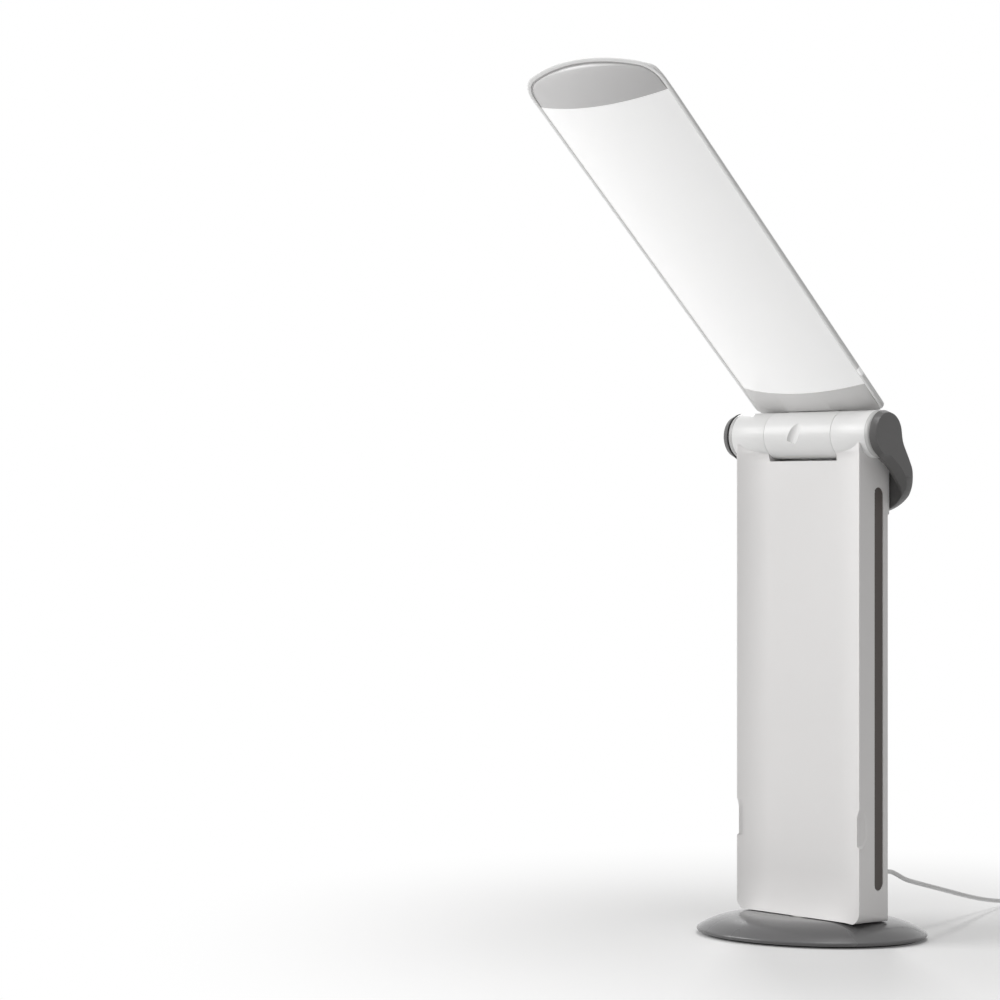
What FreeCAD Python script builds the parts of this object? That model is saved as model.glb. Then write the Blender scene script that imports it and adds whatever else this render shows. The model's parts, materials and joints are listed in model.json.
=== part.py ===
import FreeCAD, Part
import math
import os
from FreeCAD import Vector

# Folding daylight lamp: an oval base that turns under a flat column, a long lamp head on a
# barrel hinge across the column's top, and a carrying handle on the barrel's ends.
# Millimetres, +Z up. The origin is on the standing surface, on the axis the column turns about.
# X runs across the column, -Y is the side the head leans over.

# Driving dimensions: hinge line and column
axis_height = 355.0          # hinge axis above the standing surface
column_width = 110.0
column_front = 16.6          # front edges ahead of the hinge axis
column_back = 16.8           # back face behind it
column_wall = 2.2
horn_drop = 6.0              # top corners of the front below the hinge axis
slot_drop = 18.3             # floor of the slot that the knuckle turns in, below the axis
slot_side_gap = 0.3
cove_radius = 8.0            # hollow curve from the front up to the barrel
trough_depth = 7.4           # hollow down the column's front that takes the lit face
trough_flat = 61.4           # width of its flat middle
toe_height = 30.0            # height over which the trough runs out forwards at its foot
toe_front = 15.6             # how far forward it runs
corner_radius = 10.0         # rounded lower corners at the front face
corner_radius_back = 1.5     # the same corners at the back face
grip_notch_height = 81.5     # middle of the finger notches above the standing surface
grip_notch_length = 27.0
grip_notch_depth = 3.2
grip_notch_back = 8.4        # back end of the notch ahead of the hinge axis
grip_notch_curl = 7.4        # radius of its lower end
grip_notch_runout = 4.0      # slope at its upper end
foot_block_top = 34.0        # top of the solid foot above the standing surface
shelf_drop = 24.0            # underside of the top shelf below the axis
cover_lip = 2.6              # depth that the rear cover is let into the back
cover_edge = 4.0             # how far it laps over the top shelf
cover_foot_lap = 8.0         # how far it laps over the solid foot
cover_screw_inset = 11.0     # its screws in from the column's sides
cover_screw_low = 72.0       # lower pair above the standing surface
cover_screw_drop = 67.0      # upper pair below the hinge axis
cover_rib_half = 35.0
cover_rib_margin = 70.0      # stiffening ribs from the cavity's ends
cover_ribs = 5
cover_rib_width = 2.0
cover_rib_depth = 2.4
slot_cup = 2.5               # flat floor of the slot behind the axis, before it follows the barrel
slot_back_drop = 11.0        # top of the slot's cupped back below the axis
inlay_width = 9.8
inlay_top_drop = 37.0        # upper end of the side inlays below the axis
inlay_foot = 37.0            # lower end of the inlays above the standing surface
inlay_offset = 6.1           # middle of the inlay behind the hinge axis
inlay_recess = 1.4
inlay_sunk = 0.4             # how far the inlay's face lies below the wall

# Driving dimensions: hinge barrel
barrel_radius = 16.6
barrel_overhang = 4.3        # sleeve end beyond the column's side
knuckle_length = 59.2        # part of the barrel that turns with the head
axle_radius = 4.0
running_gap = 0.05           # radial clearance of shafts in their holes
fit_gap = 0.1                # clearance between seated faces
swing_gap = 0.8              # clearance round the barrel for what turns about it
washer_thickness = 0.8
washer_radius = 13.5
seam_gap = 0.25              # seam between the turning and the fixed parts of the barrel
sleeve_end_wall = 2.0
sleeve_hub_wall = 3.0
sleeve_pad = 10.0            # width of the sleeve's floor over its screws
sleeve_pad_height = 7.0
sleeve_screw_inset = 6.0
sleeve_wall = 2.4
ring_thickness = 4.0         # pale ring at each end of the barrel
ring_round = 2.4
scoop_radius = 5.5           # thumb scoop in the knuckle

# Driving dimensions: lamp head, measured along the head from the hinge axis
lean_angle = 49.0            # lean of the head from upright
head_half_width = 59.4       # at the tip
head_taper = 2.4             # how much less each side reaches at the root
head_root = 4.0
fold_gap = 0.6               # folded head above the base
tip_round = 9.0              # bow of the tip across its middle
tip_corner = 14.0
rim_height = 19.7            # rim plane of the lit side above the hinge axis
rim_wall = 1.8
rim_land = 3.0               # width of the flat rim on the lit side
rim_land_depth = 1.6
side_wall_depth = 2.2        # height of the upright side below the domed back
tip_wall_depth = 0.8         # the same at the tip
crown_depth = 16.3           # highest point of the back above the rim plane
crown_run = 44.0             # length over which the back falls at each end
bulge = 7.7                  # bow of the lit face out of the rim plane
face_inset = 0.6             # edge of the lit face below the rim
face_thickness = 1.8
window_start = 30.0
cap_length = 34.0            # from the window's end to the tip
cap_reveal = 1.4             # groove between the tip cap and the rim
nose_sections = 7            # sections that the cap's nose is drawn through
nose_flat = 0.6              # bow that is left at the tip
lug_start = 38.0
lug_length = 7.0
tray_half_width = 35.0       # flat floor of the light tray
tray_clear = 0.5             # between the tray's floor and the back of the head
tray_wall = 1.2
tray_lip_gap = 1.0           # between its edge and the rim
tray_lip_width = 3.5
board_width = 14.0
board_thickness = 1.2
board_spacing = 44.0
led_size = 3.0
led_height = 0.9
leds_per_board = 16
neck_half_width = 22.0
neck_plate_end = 64.0
neck_plate_thickness = 2.2
neck_plate_gap = 0.4         # between the neck's plate and the light tray
neck_front = 15.4            # front of the neck above the hinge axis
neck_back = 24.0             # back of its root
neck_root = 3.0              # lower end of the neck along the head
neck_bend = 31.5             # where the neck runs into its plate
neck_screw_x = 9.0
neck_screw_inset = 6.0       # outer neck screws from the plate's end
neck_screw_pitch = 12.0
tray_screw_start = 62.0      # first tray screw beyond the window's start
tray_screw_end = 16.0        # last one before the window's end

# Driving dimensions: handle
handle_gap = 0.3             # between the rings and the handle
handle_disc = 4.6            # thickness of the handle's round ends
arm_inset = 2.0              # inside of the arms in from the round ends' inner face
axle_seat = 2.4              # how deep the axle sits in the handle
bevel_run = 4.4              # outer part of the arm's thickness that the bevel takes
bevel_back = 1.8             # bevel round the disc and down the back
bevel_front = 5.0            # wider bevel under the arm
bevel_toe = 3.4              # bevel in front of the grip
shoulder_angle = 18.0        # where the arm's back edge leaves the disc
throat_angle = -125.0        # where its lower edge does
grip_front = 20.4            # front of the grip behind the hinge axis
grip_back = 29.4
grip_drop = 54.6             # underside of the grip below the hinge axis
grip_height = 29.0
handle_corner = 26.0         # rounded lower corners of the handle
handle_inner_corner = 7.0
rest_pad_depth = 3.0         # pad on the rear cover that the grip hangs against
rest_pad_top_drop = 24.0
rest_pad_height = 32.0

# Driving dimensions: base
base_half_length = 82.0
base_half_width = 56.5
base_twist = 29.0            # turn of the oval under the column, as it stands
base_edge = 4.0              # height of the oval's rim
base_crown = 15.0            # height of the oval's flat middle
crown_radius = 42.0          # its flat middle, along the oval
shoulder_run = 18.0          # the dome bends down to the rim from this far before it
shoulder_drop = 2.73         # how far it has fallen by there
rim_undercut = 1.2           # how far the rim draws in below
rim_lift = 0.4               # lowest edge of the rim below the mat's top
base_wall = 2.6
mat_thickness = 2.0
mat_inset = 6.0
floor_gap = 0.2              # round the bottom plate
floor_screw_x = 48.0
floor_screw_y = 20.0
floor_thickness = 1.5
turn_gap = 0.5               # between the dome and the column that turns above it
spigot_radius = 11.5
thrust_radius = 15.4
hub_radius = 17.5
washer_floor = 7.0           # underside of the swivel's retaining washer
retainer_thickness = 1.5
retainer_overlap = 3.0       # how far it reaches under the hub
retainer_room = 0.6          # clearance round it
swivel_screw_radius = 2.0
weight_clear = 1.0
weight_steps = (4.0, 12.0, 24.0)   # edges of the ballast's steps in from its outline
past = 40.0                  # length that a cut runs past its piece

# Driving dimensions: hinge switch and driver
switch_width = 12.0
switch_depth = 6.0
switch_height = 9.0
plunger_radius = 1.5
plunger_travel = 0.8
driver_plane = 3.0           # seat of the driver board behind the hinge axis
board_low = 150.0            # lower and upper posts of the driver board
board_high = 222.0
post_spacing = 68.0
post_radius = 2.6
board_edge = 6.0             # driver board beyond its posts
board_sheet = 1.6
choke_size = (14.0, 6.5, 14.0)
capacitor_radius = 3.6
capacitor_height = 6.8
connector_size = (12.0, 6.0, 8.0)
regulator_size = (10.0, 2.2, 10.0)

screw_slot = 0.8             # width of the slots in the screw heads
screw_slot_share = 0.4       # their depth, as a share of the head's height
screw_tip_gap = 0.3          # room ahead of the screws' tips
sleeve_screw_length = 13.0
cover_screw_length = 10.5

# Driving dimensions: cord and plug-in supply
cord_radius = 1.6
gland_length = 7.0
cord_exit_x = 46.0
cord_exit_height = 47.4
coil_turns_across = 3
coil_turns_high = 4
coil_middle_radius = 19.2
adapter_length = 66.0
adapter_width = 42.0
adapter_depth = 30.0
adapter_start = 312.0        # end of the supply that the cord enters, behind the axis
relief_length = 8.0
relief_height = 5.0          # middle of the lead's relief above the standing surface
rest_gap = 0.1               # loose pieces above the standing surface
pin_radius = 2.0
pin_length = 19.0
pin_spacing = 18.6
pin_from_end = 25.0          # pins before the supply's far end

# Worked out from the above
half_width = column_width / 2
head_tip = axis_height - base_crown - fold_gap
window_end = head_tip - cap_length
shoulder_radius = base_half_length - shoulder_run
dome_run = shoulder_radius - crown_radius
crown_bend = (dome_run ** 2 + shoulder_drop ** 2) / (2 * shoulder_drop)
column_top = axis_height - horn_drop
shelf_bottom = axis_height - shelf_drop
barrel_end = half_width + barrel_overhang
knuckle_half = knuckle_length / 2
sleeve_start = knuckle_half + washer_thickness + 2 * fit_gap
ring_start = barrel_end + fit_gap
disc_inner = ring_start + ring_thickness + handle_gap
handle_half_width = disc_inner + handle_disc
arm_inner = disc_inner - arm_inset
axle_reach = disc_inner + axle_seat
crown_height = rim_height + crown_depth
cover_low = foot_block_top - cover_foot_lap
back_rise = crown_depth - side_wall_depth
back_bend = ((head_half_width + 1) ** 2 + back_rise ** 2) / (2 * back_rise)
tray_back = crown_height - back_bend + math.sqrt(back_bend ** 2 - tray_half_width ** 2)
tray_floor = tray_back - rim_wall - tray_clear - tray_wall
neck_plate_floor = tray_floor + tray_wall + neck_plate_gap
tray_lip = head_half_width - head_taper - rim_land - tray_lip_gap
tray_skirt = tray_lip - tray_lip_width
tray_hole_end = crown_height - rim_wall - 1
neck_hole_end = crown_height - rim_wall - 0.4
trough_back = column_front - trough_depth
swing_radius = barrel_radius + swing_gap
column_underside = base_crown + turn_gap
cover_half = half_width - column_wall / 2
cord_start_y = column_back + gland_length


def box(x0, x1, y0, y1, z0, z1):
    """Block between two corners."""
    return Part.makeBox(x1 - x0, y1 - y0, z1 - z0, Vector(x0, y0, z0))


def rod_x(radius, x0, x1, y=0.0, z=0.0):
    """Round bar along X."""
    return Part.makeCylinder(radius, x1 - x0, Vector(x0, y, z), Vector(1, 0, 0))


def rod_y(radius, y0, y1, x=0.0, z=0.0):
    """Round bar along Y."""
    return Part.makeCylinder(radius, y1 - y0, Vector(x, y0, z), Vector(0, 1, 0))


def rod_z(radius, z0, z1, x=0.0, y=0.0):
    """Round bar along Z."""
    return Part.makeCylinder(radius, z1 - z0, Vector(x, y, z0), Vector(0, 0, 1))


def arc(start, middle, end):
    """Edge through three points."""
    return Part.Arc(start, middle, end).toShape()


def line(start, end):
    """Straight edge."""
    return Part.makeLine(start, end)


def prism(edges, direction):
    """Solid swept straight from a closed outline."""
    return Part.Face(Part.Wire(Part.__sortEdges__(edges))).extrude(direction)


def both_sides(shape):
    """The shape and its mirror image across the middle plane."""
    return [shape, shape.mirror(Vector(0, 0, 0), Vector(1, 0, 0))]


def raised(shape):
    """Moves a shape drawn about the hinge axis up to the axis."""
    moved = shape.copy()
    moved.translate(Vector(0, 0, axis_height))
    return moved


def leaned(shape):
    """Turns a shape drawn on an upright head to the lean it stands at."""
    moved = shape.copy()
    moved.rotate(Vector(0, 0, 0), Vector(1, 0, 0), lean_angle)
    return raised(moved)


def twisted(shape):
    """Turns a shape drawn along X to the way the base stands."""
    moved = shape.copy()
    moved.rotate(Vector(0, 0, 0), Vector(0, 0, 1), base_twist)
    return moved


def export(name, shape):
    """Writes one sub-part, as a group where it is several solids."""
    if isinstance(shape, list):
        shape = Part.makeCompound(shape)
    shape.exportStep("parts/" + name + ".step")
    volume = sum(s.Volume for s in shape.Solids)
    print(name, len(shape.Solids), "solid(s), valid", shape.isValid(), round(volume, 1), "mm3")


def screw(head_radius, head_height, shank_radius, length):
    """Slotted screw, head down at the origin, shank up along Z."""
    head = rod_z(head_radius, 0, head_height)
    slot = box(-head_radius, head_radius, -screw_slot / 2, screw_slot / 2,
               -1, head_height * screw_slot_share)
    return head.fuse(rod_z(shank_radius, head_height, head_height + length)).cut(slot)


# Column

def front_at(x, inset=0.0):
    """Front face of the column in plan: a flat middle and a hollow arc out to each edge."""
    reach = half_width - trough_flat / 2
    radius = (reach ** 2 + trough_depth ** 2) / (2 * trough_depth)
    run = max(abs(x) - trough_flat / 2, 0.0)
    return -trough_back - radius + math.sqrt((radius + inset) ** 2 - run ** 2)


def column_plan(inset, back):
    """Outline of the column seen from above."""
    side = half_width - inset
    flat = trough_flat / 2
    halfway = (flat + side) / 2

    def at(x):
        return Vector(x, front_at(x, inset), 0)

    return [
        line(Vector(side, back, 0), at(side)), arc(at(side), at(halfway), at(flat)),
        line(at(flat), at(-flat)), arc(at(-flat), at(-halfway), at(-side)),
        line(at(-side), Vector(-side, back, 0)),
        line(Vector(-side, back, 0), Vector(side, back, 0)),
    ]


def column_block():
    """The plan carried up to the horns, with the trough running out forwards at its foot."""
    body = prism(column_plan(0, column_back), Vector(0, 0, column_top - base_edge))
    body.translate(Vector(0, 0, base_edge))
    low = base_crown
    top = low + toe_height
    flat = -trough_back
    out = toe_front - trough_back
    bend = (toe_height ** 2 + out ** 2) / (2 * out)
    half = toe_height / 2
    x = -half_width
    middle = Vector(x, flat - bend + math.sqrt(bend ** 2 - half ** 2), top - half)
    start = Vector(x, flat, top)
    end = Vector(x, -toe_front, low)
    foot = Vector(x, -toe_front, base_edge)
    inner = Vector(x, flat + 1, base_edge)
    head = Vector(x, flat + 1, top)
    toe = prism([arc(start, middle, end), line(end, foot), line(foot, inner), line(inner, head),
                 line(head, start)], Vector(column_width, 0, 0))
    return body.fuse(toe).removeSplitter()


def barrel_cove():
    """Hollow curve that carries the right side of the front up under the fixed barrel."""
    x = knuckle_half + slot_side_gap
    y = -trough_back - cove_radius
    drop = math.sqrt((barrel_radius + cove_radius) ** 2 - y ** 2)
    block = box(x, half_width, y, -trough_back + 1, -drop, 0)
    block = block.cut(rod_x(cove_radius, x - 1, half_width + 1, y, -drop))
    reach = cove_radius / (barrel_radius + cove_radius)
    touch_z = -drop * (1 - reach)
    return block.cut(box(x - 1, half_width + 1, y - 1, 5, touch_z, 1))


def lower_corner():
    """Waste under the rounded lower right corner, tapering from the front to the back."""
    wires = []
    low = corner_level()
    for y, radius in ((-column_front - 2, corner_radius), (column_back + 1, corner_radius_back)):
        corner = Vector(half_width + 1, y, low - 3)
        top = Vector(half_width + 1, y, low + radius)
        side = Vector(half_width, y, low + radius)
        slant = radius * (1 - math.sqrt(0.5))
        middle = Vector(half_width - slant, y, low + slant)
        foot = Vector(half_width - radius, y, low)
        under = Vector(half_width - radius, y, low - 3)
        wires.append(Part.Wire([line(corner, top), line(top, side), arc(side, middle, foot),
                                line(foot, under), line(under, corner)]))
    return Part.makeLoft(wires, True, True)


def corner_level():
    """Height of the column's underside at its sides."""
    return dome_height(half_width) + turn_gap


def grip_notch():
    """Waste of the right finger notch: round lower end, sloping upper end."""
    top = grip_notch_height + grip_notch_length / 2
    low = top - grip_notch_length
    back = -grip_notch_back
    ahead = -column_front - 1
    curl = grip_notch_curl
    x_in = half_width - grip_notch_depth
    x_out = half_width + 1
    slant = curl * math.sqrt(0.5)
    centre = Vector(x_in, back - curl, low + curl)
    side_view = prism([
        line(Vector(x_in, ahead, top), Vector(x_in, back, top)),
        line(Vector(x_in, back, top), centre + Vector(0, curl, 0)),
        arc(centre + Vector(0, curl, 0), centre + Vector(0, slant, -slant),
            centre + Vector(0, 0, -curl)),
        line(centre + Vector(0, 0, -curl), Vector(x_in, ahead, low)),
        line(Vector(x_in, ahead, low), Vector(x_in, ahead, top)),
    ], Vector(grip_notch_depth + 1, 0, 0))
    points = [Vector(x_out, ahead, low - 1), Vector(x_in, ahead, low - 1),
              Vector(x_in, ahead, top - grip_notch_runout), Vector(half_width, ahead, top),
              Vector(x_out, ahead, top)]
    front_view = prism([line(points[i], points[(i + 1) % 5]) for i in range(5)],
                       Vector(0, column_front, 0))
    return side_view.common(front_view)


def notch_wall():
    """Thickened wall behind the right finger notch."""
    middle = grip_notch_height
    reach = grip_notch_length / 2 + column_wall
    return box(half_width - grip_notch_depth - column_wall, half_width, -column_front,
               column_wall - grip_notch_back, middle - reach, middle + reach)


def knuckle_slot():
    """Room for the turning knuckle: open in front, cupped round the barrel behind."""
    x = knuckle_half + slot_side_gap
    cup = rod_x(swing_radius, -x, x, 0, axis_height)
    front = box(-x, x, -column_front - 1, slot_cup, axis_height - slot_drop, axis_height)
    back = box(-x, x, 0, column_back + 1, axis_height - slot_back_drop, axis_height)
    return cup.fuse(front).fuse(back)


def sleeve_screw_places():
    """Middles of the screws that hold the sleeves down on the shelf."""
    return [s * x for s in (-1, 1) 
            for x in (sleeve_start + sleeve_screw_inset, half_width - sleeve_screw_inset)]


def driver_post_places():
    """Posts that the driver board is screwed to."""
    return [(s * post_spacing / 2, z) for s in (-1, 1) for z in (board_low, board_high)]


def cover_screw_places():
    """Screws of the rear cover."""
    x = half_width - cover_screw_inset
    return [(s * x, z) for s in (-1, 1) for z in (cover_screw_low, axis_height - cover_screw_drop)]


def column_housing():
    """Front, sides, top shelf and foot of the column in one moulding, open at the back."""
    body = column_block()
    for cove in both_sides(raised(barrel_cove())):
        body = body.fuse(cove)
    cavity = prism(column_plan(column_wall, column_back + 1),
                   Vector(0, 0, shelf_bottom - foot_block_top))
    cavity.translate(Vector(0, 0, foot_block_top))
    for wall in both_sides(notch_wall()):
        cavity = cavity.cut(wall)
    body = body.cut(cavity)
    # Seat of the rear cover, let into the back edges.
    body = body.cut(box(-cover_half, cover_half, column_back - cover_lip, column_back + 1,
                        cover_low, shelf_bottom + cover_edge))
    for x, z in cover_screw_places():
        boss = rod_y(3.6, front_at(x, column_wall / 2), column_back - cover_lip, x, z)
        hole = rod_y(1.5 + running_gap, column_back - cover_screw_length - 3.5, column_back, x, z)
        body = body.fuse(boss.cut(hole))
    for x, z in driver_post_places():
        post = rod_y(post_radius, front_at(x, column_wall / 2), driver_plane, x, z)
        body = body.fuse(post.cut(rod_y(1.05, driver_plane - 7, driver_plane + 1, x, z)))
    # Cradle of the fixed barrel and slot of the turning knuckle.
    body = body.cut(rod_x(barrel_radius + fit_gap, -half_width - 1, half_width + 1,
                          0, axis_height))
    body = body.cut(knuckle_slot())
    body = body.cut(dome_solid(turn_gap))
    for waste in both_sides(lower_corner()) + both_sides(grip_notch()):
        body = body.cut(waste)
    for recess in both_sides(inlay_shape(0, inlay_recess + 1, half_width - inlay_recess)):
        body = body.cut(recess)
    for x in sleeve_screw_places():
        body = body.cut(rod_z(1.5 + running_gap, shelf_bottom - 1, axis_height, x, 0))
    body = body.cut(rod_z(plunger_radius + running_gap, shelf_bottom - 1, axis_height))
    body = body.cut(rod_z(swivel_screw_radius + running_gap, 0, cover_low))
    return body.removeSplitter()


def inlay_shape(inset, thickness, start):
    """Round-ended strip along the column's right side."""
    radius = inlay_width / 2 - inset
    top = axis_height - inlay_top_drop - inlay_width / 2
    foot = inlay_foot + inlay_width / 2
    strip = box(start, start + thickness, inlay_offset - radius, inlay_offset + radius,
                foot, top)
    for z in (top, foot):
        strip = strip.fuse(rod_x(radius, start, start + thickness, inlay_offset, z))
    return strip.removeSplitter()


def side_inlay():
    """Soft strip that lies in the recess of the right side."""
    thickness = inlay_recess - inlay_sunk
    strip = inlay_shape(fit_gap, thickness, half_width - inlay_recess)
    outer = [e for e in strip.Edges if abs(e.BoundBox.XMin - (half_width - inlay_sunk)) < 0.01
             and e.BoundBox.XLength < 0.01]
    return strip.makeFillet(0.4, outer)


def rear_cover():
    """Cover let into the back, with the pad that the hanging grip rests against."""
    seat = cover_half - fit_gap
    low = cover_low + fit_gap
    high = shelf_bottom + cover_edge - fit_gap
    front = column_back - cover_lip + fit_gap
    face = column_back - 0.3
    plate = box(-seat, seat, front, face, low, high)
    first = foot_block_top + cover_rib_margin
    pitch = (shelf_bottom - cover_rib_margin - first) / (cover_ribs - 1)
    rib = box(-cover_rib_half, cover_rib_half, front - cover_rib_depth, front,
              first, first + cover_rib_width)
    for i in range(cover_ribs):
        plate = plate.fuse(rib.translated(Vector(0, 0, pitch * i)))
    pad_top = axis_height - rest_pad_top_drop
    pad = box(-half_width + 0.4, half_width - 0.4, column_back + fit_gap,
              column_back + rest_pad_depth, pad_top - rest_pad_height, pad_top)
    back = column_back + rest_pad_depth - 0.01
    pad = pad.makeFillet(1.8, [e for e in pad.Edges if e.BoundBox.YMin > back])
    neck = box(-seat + 1, seat - 1, face - 1, column_back + 1,
               pad_top - rest_pad_height + 2, high - 1)
    cover = plate.fuse(pad).fuse(neck)
    cover = cover.cut(rod_y(cord_radius + 1.4, front - 4, column_back + 1,
                            cord_exit_x, cord_exit_height))
    for x, z in cover_screw_places():
        cover = cover.cut(rod_y(1.6, front - 4, column_back + 1, x, z))
        cover = cover.cut(rod_y(3.1, face - 1.2, column_back + 1, x, z))
    return cover.removeSplitter()


def cover_screws():
    """Countersunk screws of the rear cover, each turned into a boss of the housing."""
    made = []
    for x, z in cover_screw_places():
        head = rod_y(2.9, column_back - 1.5, column_back - 0.4, x, z)
        head = head.cut(box(x - 3, x + 3, column_back - 0.9, column_back, z - 0.4, z + 0.4))
        made.append(head.fuse(rod_y(1.5, column_back - 1.5 - cover_screw_length,
                                    column_back - 1.5, x, z)))
    return made


# Barrel, axle and what turns on them, drawn about the hinge axis

def sleeve():
    """Right fixed part of the barrel, hollow round a hub for the axle."""
    seam = knuckle_half + seam_gap
    outer = rod_x(barrel_radius, seam, barrel_end)
    outer = outer.cut(rod_x(washer_radius + fit_gap, seam - 1, sleeve_start))
    hollow = rod_x(barrel_radius - sleeve_wall, sleeve_start + sleeve_end_wall,
                   barrel_end - sleeve_end_wall)
    hollow = hollow.cut(rod_x(axle_radius + sleeve_hub_wall, sleeve_start, barrel_end))
    floor = box(sleeve_start, barrel_end, -sleeve_pad / 2, sleeve_pad / 2,
                -barrel_radius, -barrel_radius + sleeve_pad_height)
    body = outer.cut(hollow.cut(floor))
    body = body.cut(rod_x(axle_radius + running_gap, sleeve_start - 1, barrel_end + 1))
    for x in sleeve_screw_places():
        if x > 0:
            body = body.cut(rod_z(1.5 + running_gap, -barrel_radius - 2, -8, x, 0))
    return body.removeSplitter()


def sleeve_screws():
    """Screws up through the shelf into the sleeves."""
    low = shelf_bottom - 2.0
    made = []
    for x in sleeve_screw_places():
        one = screw(2.8, 2.0, 1.5, sleeve_screw_length)
        one.translate(Vector(x, 0, low))
        made.append(one)
    return made


def axle():
    """Steel axle of the hinge, carried in both sleeves and both ends of the handle."""
    bar = rod_x(axle_radius, -axle_reach, axle_reach)
    return bar.makeChamfer(0.4, [bar.Edges[0], bar.Edges[2]])


def friction_washer():
    """Right washer between knuckle and sleeve."""
    start = knuckle_half + fit_gap
    disc = rod_x(washer_radius, start, start + washer_thickness)
    return disc.cut(rod_x(axle_radius + running_gap, start - 1, start + 2))


def end_ring():
    """Right pale ring between the barrel and the handle, rounded outwards."""
    disc = rod_x(barrel_radius, ring_start, ring_start + ring_thickness)
    end = ring_start + ring_thickness - 0.01
    disc = disc.makeFillet(ring_round, [e for e in disc.Edges if e.BoundBox.XMin > end])
    return disc.cut(rod_x(axle_radius + running_gap, ring_start - 1, disc_inner + 1))


# Lamp head, drawn upright about the hinge axis: Z along the head, Y up from the lit side

def head_plan(inset):
    """Outline of the head seen square on: straight sides, bowed tip, round corners."""
    side = head_half_width - inset
    tip = head_tip - inset
    root = head_root + inset
    corner = tip_corner - inset
    bow = (head_half_width ** 2 + tip_round ** 2) / (2 * tip_round) - inset
    centre = tip - bow
    x_mid = side - corner
    meet_z = centre + math.sqrt((bow - corner) ** 2 - x_mid ** 2)
    lean = math.atan2(x_mid, meet_z - centre)
    join = Vector(x_mid + corner * math.sin(lean), 0, meet_z + corner * math.cos(lean))
    turn = (math.pi / 2 + lean) / 2
    middle = Vector(x_mid + corner * math.sin(turn), 0, meet_z + corner * math.cos(turn))
    start = Vector(side, 0, meet_z)

    def left(p):
        return Vector(-p.x, p.y, p.z)

    low = Vector(side - head_taper, 0, root)
    return [
        line(left(low), low), line(low, start), arc(start, middle, join),
        arc(join, Vector(0, 0, tip), left(join)),
        arc(left(join), left(middle), left(start)), line(left(start), left(low)),
    ]


def plan_block(inset, y0, y1):
    """The head's outline as a block between two heights."""
    block = prism(head_plan(inset), Vector(0, y1 - y0, 0))
    block.translate(Vector(0, y0, 0))
    return block


def crown_block(inset):
    """Room under the domed back: an arc across the head, run along it."""
    edge = rim_height + side_wall_depth - inset * 0.5
    top = crown_height - inset
    side = head_half_width + 1
    z = head_root - 5
    low_y = rim_height - 12
    corners = [Vector(-side, low_y, z), Vector(side, low_y, z),
               Vector(side, edge, z), Vector(-side, edge, z)]
    return prism([line(corners[0], corners[1]), line(corners[1], corners[2]),
                  arc(corners[2], Vector(0, top, z), corners[3]),
                  line(corners[3], corners[0])], Vector(0, 0, head_tip + 10))


def fall_block(inset):
    """Side view of the head: the back falls in an arc towards the root and the tip."""
    top = crown_height - inset
    low = rim_height - 12
    x = -head_half_width - 1

    def fall(end, wall, toward):
        """Arc that leaves the crown level and comes down to the end wall."""
        edge = rim_height + wall - inset * 0.5
        rise = top - edge
        run = crown_run - inset
        bend = (run ** 2 + rise ** 2) / (2 * rise)
        inner = end + toward * run
        half = math.asin(run / bend) / 2
        middle = Vector(x, top - bend + bend * math.cos(half), inner - toward * bend * math.sin(half))
        return [line(Vector(x, low, end), Vector(x, edge, end)),
                arc(Vector(x, edge, end), middle, Vector(x, top, inner))]

    root, tip = head_root + inset, head_tip - inset
    return prism(fall(root, side_wall_depth, 1) + fall(tip, tip_wall_depth, -1) + [
        line(Vector(x, top, head_root + crown_run), Vector(x, top, head_tip - crown_run)),
        line(Vector(x, low, tip), Vector(x, low, root)),
    ], Vector(2 * head_half_width + 2, 0, 0))


def head_envelope(inset, low):
    """Outside of the head above a height, or its inside when inset by a wall."""
    block = plan_block(inset, low, crown_height + 1)
    return block.common(crown_block(inset)).common(fall_block(inset))


def head_shell():
    """Back, sides and rim of the head in one thin moulding, open on the lit side."""
    shell = head_envelope(0, rim_height).cut(head_envelope(rim_wall, rim_height - 1))
    land = plan_block(0, rim_height, rim_height + rim_land_depth)
    land = land.cut(plan_block(rim_land, rim_height - 1, rim_height + rim_land_depth + 1))
    shell = shell.fuse(land.common(head_envelope(0, rim_height)))
    room = head_envelope(rim_wall / 2, rim_height - 1)
    for x, z in boss_places():
        boss = rod_y(3.0, tray_floor + tray_wall + fit_gap, crown_height, x, z).common(room)
        shell = shell.fuse(boss.cut(rod_y(1.05, tray_floor, tray_hole_end, x, z)))
    plate_top = neck_plate_floor + neck_plate_thickness
    for x, z in neck_screw_places():
        boss = rod_y(3.2, plate_top + fit_gap, crown_height, x, z).common(room)
        shell = shell.fuse(boss.cut(rod_y(1.55, plate_top, neck_hole_end, x, z)))
    for lug in both_sides(lug_block(0.15)):
        shell = shell.cut(lug)
    return shell.removeSplitter()


def boss_places():
    """Bosses in the back of the head that the light tray is screwed to."""
    first, last = window_start + tray_screw_start, window_end - tray_screw_end
    return [(0.0, z) for z in (first, (first + last) / 2, last)]


def face_arc_block(offset, side, z0, z1):
    """Room above the bowed lit face: everything over an arc that sinks below the rim plane."""
    edge = rim_height + face_inset + offset
    middle = rim_height + face_inset - bulge + offset
    high = rim_height + 6
    corners = [Vector(side, edge, z0), Vector(-side, edge, z0),
               Vector(-side, high, z0), Vector(side, high, z0)]
    return prism([arc(corners[0], Vector(0, middle, z0), corners[1]),
                  line(corners[1], corners[2]), line(corners[2], corners[3]),
                  line(corners[3], corners[0])], Vector(0, 0, z1 - z0))


def lug_block(grow):
    """Room of the lug on the right edge of the diffuser, which snaps through the rim."""
    inner = head_half_width - head_taper - rim_land - 1
    return box(inner, head_half_width + 1, rim_height - grow,
               rim_height + face_inset + face_thickness + grow,
               lug_start - grow, lug_start + lug_length + grow)


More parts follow.
